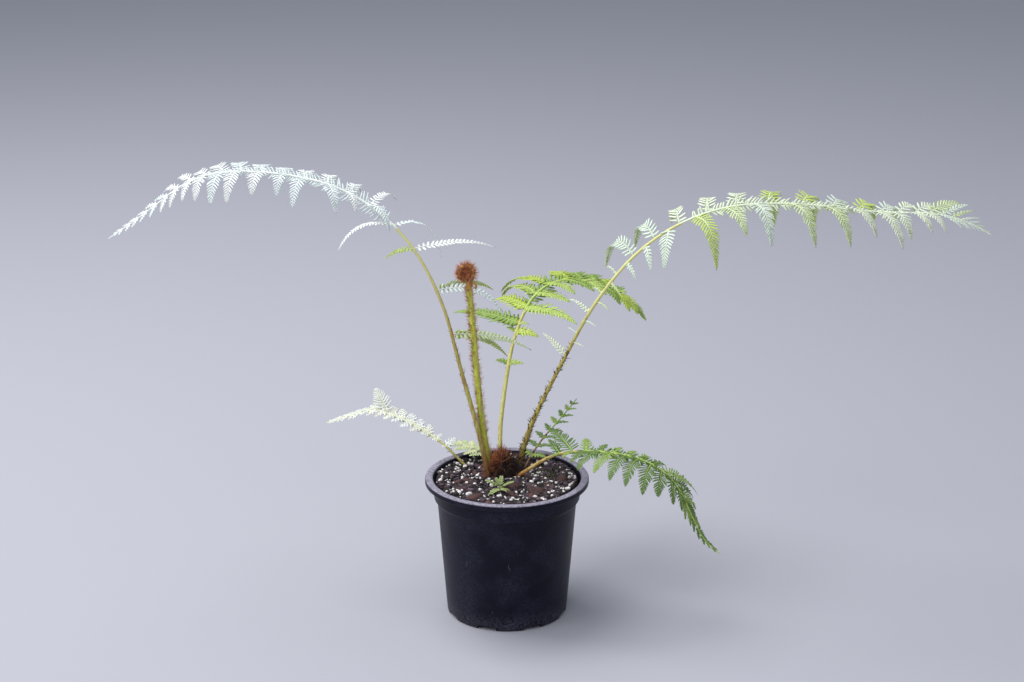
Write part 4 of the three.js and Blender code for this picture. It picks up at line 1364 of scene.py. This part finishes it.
@dataclass(frozen=True)
class Crozier(Stem):
    """The furled frond: an upright bristly stalk and a coil hidden in rusty hair."""

    x: float = -13.5
    y: float = 20.0
    length: float = 170.5
    foot_radius: float = 2.8
    neck_radius: float = 2.5
    headings: Stations = (180, 180)
    pitches: Stations = (78, 84, 86, 84)
    coil_radius: float = 8.4
    tube_radius: float = 2.5
    shrink: float = 0.1
    seat: float = 2.9
    start_deg: float = -68.0
    facing_deg: float = 205.0
    inner_turns: float = 3.4
    bristles: int = 1700
    coat: int = 3000
    sunk: float = 0.95
    hook_start: tuple[float, ...] = (7.4, 0.0, -12.6)
    hook_radius: float = 1.9
    bristle: Hair = Hair(length=3.5, radius=0.23, spread=0.3, droop=-0.15)
    long: Hair = Hair(length=3.7, radius=0.2, spread=0.35, droop=0.0)
    short: Hair = Hair(length=0.9, radius=0.2, spread=0.5, droop=0.0)
    seed: int = 41

    def spiral(self, top: Array, steps: int) -> tuple[Array, Array]:
        """Works out the coil: a spiral in an upright plane whose radius shrinks as it winds.

        Args:
            top: The stalk's end.
            steps: How many points the spiral has, less one.

        Returns:
            The points of the middle line, and the tube's radius at each.
        """
        outward = directions(self.facing_deg, 0.0)
        begin = math.radians(self.start_deg)
        centre = top + outward * self.coil_radius * math.cos(begin)
        centre = centre + UP * (self.seat - self.coil_radius * math.sin(begin))
        wound = np.linspace(0.0, 2.0 * math.pi * self.inner_turns, steps + 1)
        reach = self.coil_radius * np.exp(-self.shrink * wound)
        path = centre - outward * (reach * np.cos(begin + wound))[:, None]
        path = path + UP * (reach * np.sin(begin + wound))[:, None]
        radii = self.tube_radius * np.exp(-self.shrink * wound)
        return path, radii

    def build(self) -> None:
        """Builds the stalk with its bristles, and then the coil with its coat."""
        random = np.random.default_rng(self.seed)
        rib = self.rib()
        self.stalk(rib, random)
        self.coil(rib[-1], random)

    def stalk(self, rib: Array, random: np.random.Generator) -> None:
        """Builds the stalk up to the coil's seat, its bristles rusty at the top and to the left.

        Args:
            rib: The stalk's middle line.
            random: The seeded numbers.
        """
        radii = np.linspace(self.foot_radius, self.neck_radius, len(rib))
        neck = rib[-1] + UP * (self.seat * np.array([0.4, 0.8, 1.2]))[:, None]
        shape = np.concatenate([radii, radii[-1] * np.array([0.98, 0.9, 0.7])])
        bare = tube(np.vstack([rib, neck]), shape, 16, AWAY)
        at = random.beta(1.0, 0.9, self.bristles)
        place = np.minimum((at * SPINE_STEPS).astype(int), SPINE_STEPS - 1)
        step = rib[place + 1] - rib[place]
        out = spokes(random, unit(step))
        roots = rib[place] + step * random.uniform(size=(self.bristles, 1))
        roots = roots + out * (radii[place] * self.sunk)[:, None]
        rusty = smooth(-out[:, 0], -0.2, 0.5) + 0.8 * smooth(at, 0.9, 1.0)
        tint = np.where(random.uniform(size=self.bristles) < 0.08 + 0.85 * rusty, 2, 1)
        bristles = self.bristle.grow(roots, out + 0.35 * UP, random, tint)
        finishes = [CROZIER_FINISH, BRISTLE_FINISH, RUST_FINISH]
        Shell.joined([bare, bristles]).piece("furled_stalk", finishes, "stipe", "crozier_stalk")

    def coil(self, top: Array, random: np.random.Generator) -> None:
        """Builds the coil and its small hook, with long hair on the outer side and short within.

        Args:
            top: The stalk's end.
            random: The seeded numbers.
        """
        path, radii = self.spiral(top, 180)
        plane = np.cross(directions(self.facing_deg, 0.0), UP)
        bend = np.linspace(-0.4 * math.pi, 1.1 * math.pi, 25)[:, None]
        hook = path[-1] + self.hook_start + self.hook_radius * (np.cos(bend) * RIGHT + np.sin(bend) * UP)
        shells = [
            tube(path, radii * self.sunk, 14, plane, 2),
            tube(hook, np.linspace(1.1, 0.5, len(bend)), 10, plane, 2),
        ]
        at = random.integers(0, len(path), self.coat)
        middle = path[at]
        out = spokes(random, unit(np.gradient(path, axis=0))[at])
        away = unit(middle - path.mean(axis=0))
        roots = middle + out * (radii[at] * self.sunk)[:, None]
        tint = random.integers(0, 2, self.coat)
        rim = np.sum(out * away, axis=1) > 0.35
        for hair, part in ((self.long, rim), (self.short, ~rim)):
            shells.append(hair.grow(roots[part], (out + 0.5 * away)[part], random, tint[part]))
        finishes = [RUST_FINISH, CINNAMON_FINISH, COIL_FINISH]
        Shell.joined(shells).piece("furled_coil", finishes, "coil", "crozier_coil")


@dataclass(frozen=True)
class Crown:
    """The hairy crown that all stalks rise from: a dark core under a coat of rusty hair. Its hair is rust on
    the top and left and umber below, partly its own colour and partly painted light and painted shade, with
    pale painted highlights.
    """

    x: float = -4.5
    y: float = 16.5
    radius: float = 11.6
    height: float = 18.0
    lump: float = 0.34
    lump_size: float = 6.0
    lump_seed: int = 5
    lit_rust_from: float = 0.58
    lit_rust_to: float = 1.15
    highlight_share: float = 0.4
    hairs: int = 4200
    hair: Hair = Hair(length=8.8, radius=0.22, spread=1.1, droop=0.1)
    seed: int = 17

    def build(self) -> None:
        """Builds the core and the hair, rusty above and dark below: the rust on top and to the left is
        partly painted light, and the dark below is partly painted shade.
        """
        random = np.random.default_rng(self.seed)
        turn, rise = np.meshgrid(np.linspace(0, 2 * math.pi, 49)[:-1], np.linspace(-0.2, 1.0, 20))
        level = np.cos(rise * math.pi / 2.0)
        ball = np.stack([level * np.cos(turn), level * np.sin(turn), np.sin(rise * math.pi / 2.0)], axis=-1)
        size = np.array([self.radius, self.radius, self.height])
        base = on_mix(self.x, self.y)
        core = grid_shell(base + ball * size * (1.0 + self.lumps(ball * size))[..., None])
        heading = random.uniform(0.0, 360.0, self.hairs)
        pitch = np.degrees(np.arcsin(random.uniform(0.0, 1.0, self.hairs)))
        out = directions(heading, pitch)
        roots = base + out * size * (0.9 + self.lumps(out * size))[:, None]
        # Painted light: hairs facing up and to the left, towards the lamps, turn rust, and some of them pale
        # cinnamon as painted highlights; the rest stay umber as painted shade.
        lean = out[:, 2] - 0.6 * out[:, 0] + 0.25 * random.normal(size=self.hairs)
        rusty = smooth(lean, self.lit_rust_from, self.lit_rust_to)
        pale = random.uniform(size=self.hairs) < self.highlight_share * rusty
        tint = np.where(random.uniform(size=self.hairs) < rusty, 1, 0) + np.where(pale, 1, 0)
        coat = self.hair.grow(roots, out + 0.4 * UP, random, tint)
        finishes = [UMBER_FINISH, RUST_FINISH, CINNAMON_FINISH]
        Shell.joined([core, coat]).piece("crown_hair", finishes, "crown", "crown")

    def lumps(self, places: Array) -> Array:
        """How far the crown's surface swells or sinks at places, as a share of its size."""
        return self.lump * value_noise(places, self.lump_size, self.lump_seed)


def grid_shell(points: Array) -> Shell:
    """Joins a grid of points, rows by columns, that closes round its columns, with flat ends.

    Args:
        points: Rows of points, each row once round.

    Returns:
        The closed shell.
    """
    rows, columns = points.shape[:2]
    near = np.arange((rows - 1) * columns).reshape(rows - 1, columns)
    beside = np.roll(near, -1, axis=1)
    quads = np.stack([near, beside, beside + columns, near + columns], axis=-1)
    first = np.arange(columns)[::-1]
    last = (rows - 1) * columns + np.arange(columns)
    faces = (rows - 1) * columns
    return Shell(
        points.reshape(-1, 3),
        np.concatenate([quads.ravel(), first, last]),
        np.concatenate([np.full(faces, 4), [columns, columns]]),
        np.zeros(faces + 2, int),
    )


@dataclass(frozen=True)
class Pot:
    """The round nursery pot: a thin tapered wall with a band, a rolled lip and drain notches."""

    lip_width: float = 6.5
    lip_height: float = 5.0
    lip_round: float = 1.2
    band_height: float = 18.0
    band_step: float = 2.4
    band_flare: float = 0.3
    wall_top_radius: float = 59.6
    base_radius: float = 51.6
    corner_round: float = 3.0
    floor: float = 1.6
    foot_flare: float = 0.4
    foot_height: float = 5.0
    waist_flare: float = 0.7
    waist_height: float = 8.5
    hub: float = 0.4
    notch_count: int = 8
    notch_width: float = 17.0
    notch_depth: float = 12.0
    notch_height: float = 3.5
    first_notch: float = -110.0
    notch_squareness: float = 0.35
    sides: int = 192

    def profile(self) -> Array:
        """Lists radius and height round the wall, outside up and inside down, corners rounded.

        Returns:
            Profile points, from the underside's middle to the floor's.
        """
        band_foot = POT_HEIGHT - self.band_height
        lip_foot = POT_HEIGHT - self.lip_height
        inner_lip = RIM_RADIUS - self.lip_width
        foot = self.base_radius + self.foot_flare
        waist = self.base_radius + self.waist_flare
        inner_band = BAND_RADIUS - WALL
        corners = [
            (self.hub, 0.0, 0.0),
            (self.base_radius, 0.0, self.corner_round),
            (foot, self.foot_height, 0.0),
            (waist, self.waist_height, 0.0),
            (self.wall_top_radius, band_foot - self.band_step, 1.2),
            (BAND_RADIUS, band_foot, 1.2),
            (BAND_RADIUS + self.band_flare, lip_foot, 0.9),
            (RIM_RADIUS, lip_foot, self.lip_round),
            (RIM_RADIUS, POT_HEIGHT, 1.8),
            (inner_lip, POT_HEIGHT, 1.8),
            (inner_band, lip_foot - self.lip_round, 1.2),
            (inner_band, band_foot, 1.0),
            (self.wall_top_radius - WALL, band_foot - self.band_step, 1.0),
            (waist - WALL, self.waist_height, 0.0),
            (foot - WALL, self.foot_height + 0.6, 0.0),
            (self.base_radius - WALL, self.floor, self.corner_round),
            (self.hub, self.floor, 0.0),
        ]
        return rounded(corners, 6)

    def build(self) -> None:
        """Turns the profile, cuts the drain notches and dresses the pot."""
        profile = self.profile()
        circle = round_section(self.sides)
        points = np.stack([
            profile[:, :1] * circle[:, 0], profile[:, :1] * circle[:, 1],
            np.repeat(profile[:, 1:], self.sides, axis=1),
        ], axis=-1)
        made = grid_shell(points).piece("pot_shell", [PlasticFinish("pot_black")], "pot", "pot")
        cutter = self.notches()
        knife = made.modifiers.new("notches", "BOOLEAN")
        knife.operation = "DIFFERENCE"
        knife.solver = "EXACT"
        knife.object = cutter
        apply_modifiers(made)
        bpy.data.objects.remove(cutter)

    def notches(self) -> bpy.types.Object:
        """Makes one cutter of all drain notches: rounded blocks across the foot's corner.

        Returns:
            The cutter, which is removed once it has cut.
        """
        turns = self.first_notch + 360.0 * np.arange(self.notch_count) / self.notch_count
        out = directions(turns, np.zeros(self.notch_count))
        reach = np.array([self.base_radius - self.notch_depth, self.base_radius + self.notch_depth])
        centres = out[:, None] * reach[None, :, None]
        circle = round_section(24)
        section = np.sign(circle) * np.abs(circle) ** self.notch_squareness
        wide = np.repeat(np.cross(UP, out)[:, None], 2, axis=1)
        tall = np.broadcast_to(UP, wide.shape)
        size = np.ones((self.notch_count, 2))
        blocks = swept(centres, wide, tall, size * self.notch_width / 2.0, size * self.notch_height, section)
        return blocks.piece("notch_cutter", [], "pot")


def rounded(corners: Sequence[tuple[float, float, float]], steps: int) -> Array:
    """Rounds the corners of a profile: each becomes a short curve between its two tangent points.

    The curve is the one that blends start, corner and end by (1-t) squared, 2t(1-t) and t squared.

    Args:
        corners: Radius, height and rounding of each corner.
        steps: Points on each rounded corner, less one.

    Returns:
        The profile's points.
    """
    points = np.array([corner[:2] for corner in corners])
    rows = [points[:1]]
    t = np.linspace(0.0, 1.0, steps + 1)[:, None]
    for before, corner, after, (_, _, size) in zip(points, points[1:], points[2:], corners[1:]):
        if size == 0.0:
            rows.append(corner[None])
            continue
        back, ahead = before - corner, after - corner
        cut = min(size, 0.45 * np.linalg.norm(back), 0.45 * np.linalg.norm(ahead))
        start = corner + unit(back) * cut
        end = corner + unit(ahead) * cut
        rows.append((1 - t) ** 2 * start + 2 * t * (1 - t) * corner + t**2 * end)
    rows.append(points[-1:])
    return np.concatenate(rows)


def apply_modifiers(made: bpy.types.Object) -> None:
    """Swaps the piece's mesh for the one that its modifiers give, and removes them.

    Args:
        made: The piece.
    """
    bpy.context.view_layer.update()
    graph = bpy.context.evaluated_depsgraph_get()
    mesh = bpy.data.meshes.new_from_object(made.evaluated_get(graph))
    made.modifiers.clear()
    made.data = mesh


@dataclass(frozen=True)
class Grains:
    """A kind of crumb in the mix: how many, how large, how flat and how deep they sit."""

    name: str
    count: int
    smallest: float
    largest: float
    flatness: float
    stretch: float
    light: Colour
    dark: Colour
    seed: int
    sink: float = 0.15
    lumpiness: float = 0.22
    tip: float = 0.45

    def build(self) -> None:
        """Strews lumps over the mix: a twelve-cornered body, each turned and stretched its way."""
        random = np.random.default_rng(self.seed)
        corners, faces = lump()
        size = self.smallest + (self.largest - self.smallest) * random.beta(1.2, 2.6, self.count)
        radius = (BAND_RADIUS - WALL - 0.2 - 0.4 * size) * np.sqrt(random.uniform(size=self.count))
        turn = random.uniform(0.0, 2.0 * math.pi, self.count)
        x, y = radius * np.cos(turn), radius * np.sin(turn)
        swell = random.normal(size=(self.count, len(corners), 1)).clip(-1.5, 1.5)
        lumps = corners[None] * (1.0 + self.lumpiness * swell)
        scale = np.stack([
            np.full(self.count, self.stretch) * random.uniform(0.7, 1.0, self.count),
            np.ones(self.count), np.full(self.count, self.flatness),
        ], axis=1)
        lumps = lumps * (scale * size[:, None] / 2.0)[:, None]
        lumps = np.einsum("nij,nkj->nki", self.tilts(random), lumps)
        height = mix_height(x, y) + size * self.flatness * (0.5 - self.sink) - 0.2
        lumps = lumps + np.stack([x, y, height], axis=1)[:, None]
        index = (np.arange(self.count) * len(corners))[:, None, None] + faces[None]
        total = self.count * len(faces)
        shell = Shell(lumps.reshape(-1, 3), index.ravel(), np.full(total, 3), np.zeros(total, int))
        shell.piece(self.name, [RoughFinish(self.name, self.light, self.dark, 240.0, 0.9)], "soil")

    def tilts(self, random: np.random.Generator) -> Array:
        """Turns each lump any way about the upright and tips it a little.

        Args:
            random: The seeded numbers.

        Returns:
            One turning matrix for each lump.
        """
        spin = random.uniform(0.0, 2.0 * math.pi, self.count)
        tip = self.tip * random.normal(size=self.count)
        zero, one = np.zeros(self.count), np.ones(self.count)
        cos, sin = np.cos(spin), np.sin(spin)
        about = np.array([[cos, -sin, zero], [sin, cos, zero], [zero, zero, one]])
        cos, sin = np.cos(tip), np.sin(tip)
        lean = np.array([[one, zero, zero], [zero, cos, -sin], [zero, sin, cos]])
        return np.einsum("ijn,jkn->nik", about, lean)


def lump() -> tuple[Array, Array]:
    """Makes the body with twelve corners and twenty triangles, each turned to face out.

    The corners are 0, plus or minus 1 and plus or minus the golden ratio in three orders, at
    length 1, and three corners make a triangle where each is near the other two.

    Returns:
        The corners, and the three corners of each triangle.
    """
    golden = (1.0 + 5.0**0.5) / 2.0
    signs = np.array([[0, 1, 1], [0, 1, -1], [0, -1, 1], [0, -1, -1]]) * [1.0, 1.0, golden]
    corners = unit(np.concatenate([np.roll(signs, shift, axis=1) for shift in range(3)]))
    near = np.linalg.norm(corners[:, None] - corners[None], axis=-1) < 1.1
    faces = []
    for one, two, three in combinations(range(len(corners)), 3):
        if near[one, two] and near[two, three] and near[one, three]:
            face = np.cross(corners[two] - corners[one], corners[three] - corners[one])
            faces.append((one, two, three) if face @ corners[one] > 0 else (one, three, two))
    return corners, np.array(faces)


@dataclass(frozen=True)
class PottingMix:
    """The mix: a crumbly mound with perlite, bark and a little moss on it.

    Relief lists the height, the cell and the seed of each noise that roughens the mound, and
    skirt is how far its side goes down behind the wall.
    """

    kinds: tuple[Grains, ...] = (
        Grains("mix_crumbs", 4200, 1.0, 4.4, 0.7, 1.5, (52, 40, 40), (18, 13, 15), 1),
        Grains("mix_perlite", 610, 1.1, 4.6, 0.85, 1.15, (240, 238, 234), (204, 198, 196), 2, 0.05),
        Grains("mix_bark", 30, 4.0, 13.0, 0.34, 2.2, (84, 52, 48), (48, 32, 32), 3, 0.0),
        Grains("mix_peat", 760, 1.5, 6.5, 0.5, 1.8, (92, 72, 84), (40, 30, 38), 4, 0.0),
    )
    rows: int = 90
    columns: int = 220
    skirt: float = 12.0
    relief: tuple[tuple[float, float, int], ...] = ((0.9, 6.0, 11), (0.7, 2.2, 12))
    mound: RoughFinish = RoughFinish("mix_dark", (44, 32, 32), (15, 11, 12), 300.0, 0.95, 0.8)
    moss: int = 1400
    moss_patch: float = 0.75
    moss_middle: tuple[float, float] = (31.0, 18.0)
    moss_spread: float = 8.0
    moss_reach: float = 50.0
    moss_hair: Hair = Hair(length=1.9, radius=0.22, spread=0.6, droop=0.0, rings=3)
    moss_finish: RoughFinish = RoughFinish("moss_green", (112, 122, 62), (58, 70, 30), 380.0, 0.8)
    moss_seed: int = 23

    def build(self) -> None:
        """Builds the mound with its relief, the grains on it and the moss."""
        edge = BAND_RADIUS - WALL - 0.4
        share = np.linspace(1.0, 0.004, self.rows)[:, None]
        turn = np.linspace(0.0, 2.0 * math.pi, self.columns + 1)[:-1][None, :]
        x, y = edge * share * np.cos(turn), edge * share * np.sin(turn)
        flat = np.stack([x, y, np.zeros_like(x)], axis=-1)
        relief = sum(height * value_noise(flat, cell, seed) for height, cell, seed in self.relief)
        top = np.stack([x, y, mix_height(x, y) + relief - 0.8], axis=-1)
        side = top[:1].copy()
        side[..., 2] = SOIL_EDGE_HEIGHT - self.skirt
        grid_shell(np.concatenate([side, top])).piece("mix_mound", [self.mound], "soil", "soil")
        for kind in self.kinds:
            kind.build()
        self.build_moss()

    def build_moss(self) -> None:
        """Grows short moss in a patch to the right of the crown and thinly elsewhere."""
        random = np.random.default_rng(self.moss_seed)
        patch = random.uniform(size=self.moss) < self.moss_patch
        x, y = (
            np.where(
                patch, random.normal(middle, self.moss_spread, self.moss),
                random.uniform(-self.moss_reach, self.moss_reach, self.moss),
            )
            for middle in self.moss_middle
        )
        keep = np.hypot(x, y) < BAND_RADIUS - 5.0
        roots = np.stack([x, y, mix_height(x, y)], axis=1)[keep]
        moss = self.moss_hair.grow(roots, np.broadcast_to(UP, roots.shape), random)
        moss.piece("mix_moss", [self.moss_finish], "soil")


@dataclass(frozen=True)
class Seedling:
    """A seedling in front of the crown: small lobed leaves on a stub."""

    x: float = -5.8
    y: float = -21.5
    stub_height: float = 4.0
    headings: Stations = (172.0, 78.0, -6.0, 236.0, -52.0, 125.0)
    lengths: Stations = (12.5, 10.0, 12.0, 13.0, 12.0, 9.0)
    pitches: Stations = (32.0, 54.0, 32.0, 2.0, 6.0, 50.0)
    sag: float = 0.4
    lobes: int = 4

    def build(self) -> None:
        """Builds the leaves as round lobes along a short rib, and the stub."""
        foot = on_mix(self.x, self.y)
        head = foot + UP * (self.stub_height - 1.0)
        count = len(self.headings)
        length = np.array(self.lengths)
        out = directions(np.array(self.headings), np.array(self.pitches))
        order = np.tile(np.repeat(np.arange(self.lobes), 2), count)
        leaf = np.repeat(np.arange(count), 2 * self.lobes)
        edge = np.tile([1.0, -1.0], count * self.lobes)
        t = 0.3 + 0.62 * order / (self.lobes - 1)
        side = across(np.cross(UP, out), out)
        root = head + length[leaf, None] * (t[:, None] * out[leaf] - (self.sag * t**3 / 3.0)[:, None] * UP)
        angle = np.radians(62.0 - 42.0 * t)[:, None]
        heading = np.cos(angle) * out[leaf] + np.sin(angle) * side[leaf] * edge[:, None]
        reach = (length[leaf] * (0.4 - 0.18 * t))[:, None, None]
        u = np.array([0.0, 0.3, 0.6, 0.82, 1.0])[None, :, None]
        centres = root[:, None] + reach * (u * heading[:, None] - 0.1 * u**2 * UP)
        bulge = np.sqrt(np.clip(1.0 - (u[..., 0] * 1.25 - 0.35) ** 2 / 0.85, 0.05, 1.0))
        width = 0.15 * length[leaf, None] * bulge
        kinds = SECTION_SIDES[None]
        lobes = leafy(centres, UP, width, 0.2, 0.1, kinds)
        t = np.linspace(0.0, 1.0, 9)[None, :, None]
        ribs = head + length[:, None, None] * (t * out[:, None] - self.sag * t**3 / 3.0 * UP)
        width = length[:, None] * (0.03 + 0.1 * smooth(t[..., 0], 0.15, 0.6))
        blades = leafy(ribs, UP, width, 0.25, 0.05, kinds)
        stub = tube(np.stack([foot - UP, foot + UP, head]), np.array([0.9, 0.8, 0.6]), 8, RIGHT, 1)
        finishes = [LeafFinish("leaf_seedling", Tone.DULL), LeafFinish("leaf_seedling_under", Tone.MEADOW)]
        Shell.joined([lobes, blades, stub]).piece("seedling_leaves", finishes, "seedling", "seedling")


@dataclass(frozen=True)
class Lamp:
    """A square soft light that looks at the middle of the plant.

    Azimuth is in degrees from +X towards +Y, elevation in degrees above the level, distance and
    the square's size are in metres, and power is in watts.
    """

    name: str
    azimuth: float
    elevation: float
    distance: float
    size: float
    power: float
    middle: float = 0.2

    def hang(self) -> None:
        """Makes the light and turns it to the plant."""
        data = bpy.data.lights.new(self.name, "AREA")
        data.shape = "SQUARE"
        data.size = self.size
        data.energy = self.power
        made = placed(self.name, data)
        out = directions(self.azimuth, self.elevation)
        made.location = tuple(out * self.distance + self.middle * UP)
        made.rotation_euler = (math.radians(90.0 - self.elevation), 0.0, math.radians(self.azimuth + 90.0))


@dataclass(frozen=True)
class Studio:
    """The camera, the pale floor and the soft lights."""

    floor_size: float = 8.0
    floor: Colour = (168, 168, 176)
    sky: Colour = (222, 230, 246)
    sky_strength: float = 0.5
    lamps: tuple[Lamp, ...] = (
        Lamp("top", 150.0, 66.0, 2.4, 1.6, 58.0),
        Lamp("left", 205.0, 30.0, 2.6, 1.4, 22.0),
        Lamp("front", 262.0, 40.0, 3.0, 2.2, 26.0),
    )

    def build(self) -> None:
        """Sets the camera first, then the floor, the world and the lights."""
        self.camera()
        half = self.floor_size / 2.0
        corners = [(-half, -half, 0.0), (half, -half, 0.0), (half, half, 0.0), (-half, half, 0.0)]
        mesh = bpy.data.meshes.new("studio_floor")
        mesh.from_pydata(corners, [], [(0, 1, 2, 3)])
        finish = RoughFinish("floor_pale", self.floor, self.floor, 2.0, 0.9, 0.0)
        mesh.materials.append(finish.material())
        placed("studio_floor", mesh)
        world = bpy.data.worlds.new("studio_world")
        world.use_nodes = True
        sky = world.node_tree.nodes["Background"]
        sky.inputs["Color"].default_value = (*linear(*self.sky), 1.0)
        sky.inputs["Strength"].default_value = self.sky_strength
        bpy.context.scene.world = world
        for lamp in self.lamps:
            lamp.hang()

    def camera(self) -> None:
        """Places the camera that was fitted to the photograph, looking along +Y and down."""
        tilt = math.radians(CAMERA_ELEVATION)
        data = bpy.data.cameras.new("camera")
        data.sensor_width = SENSOR_MM
        data.sensor_fit = "HORIZONTAL"
        data.lens = FOCAL_PIXELS / PHOTO_WIDTH * SENSOR_MM
        data.clip_end = 50.0
        made = placed("camera", data)
        look = np.array(LOOK_POINT)
        eye = look + CAMERA_DISTANCE * np.array([0.0, -math.cos(tilt), math.sin(tilt)])
        made.location = tuple(eye * MM)
        made.rotation_euler = (math.pi / 2.0 - tilt, 0.0, 0.0)
        bpy.context.scene.camera = made


def main() -> None:
    """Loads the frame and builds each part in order."""
    logging.basicConfig(level=logging.INFO, format="%(name)s: %(message)s")
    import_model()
    Studio().build()
    Pot().build()
    PottingMix().build()
    Crown().build()
    Crozier().build()
    for frond in FRONDS:
        frond.build()
    Seedling().build()
    bpy.context.scene.view_settings.view_transform = "Standard"


if __name__ == "__main__":
    main()
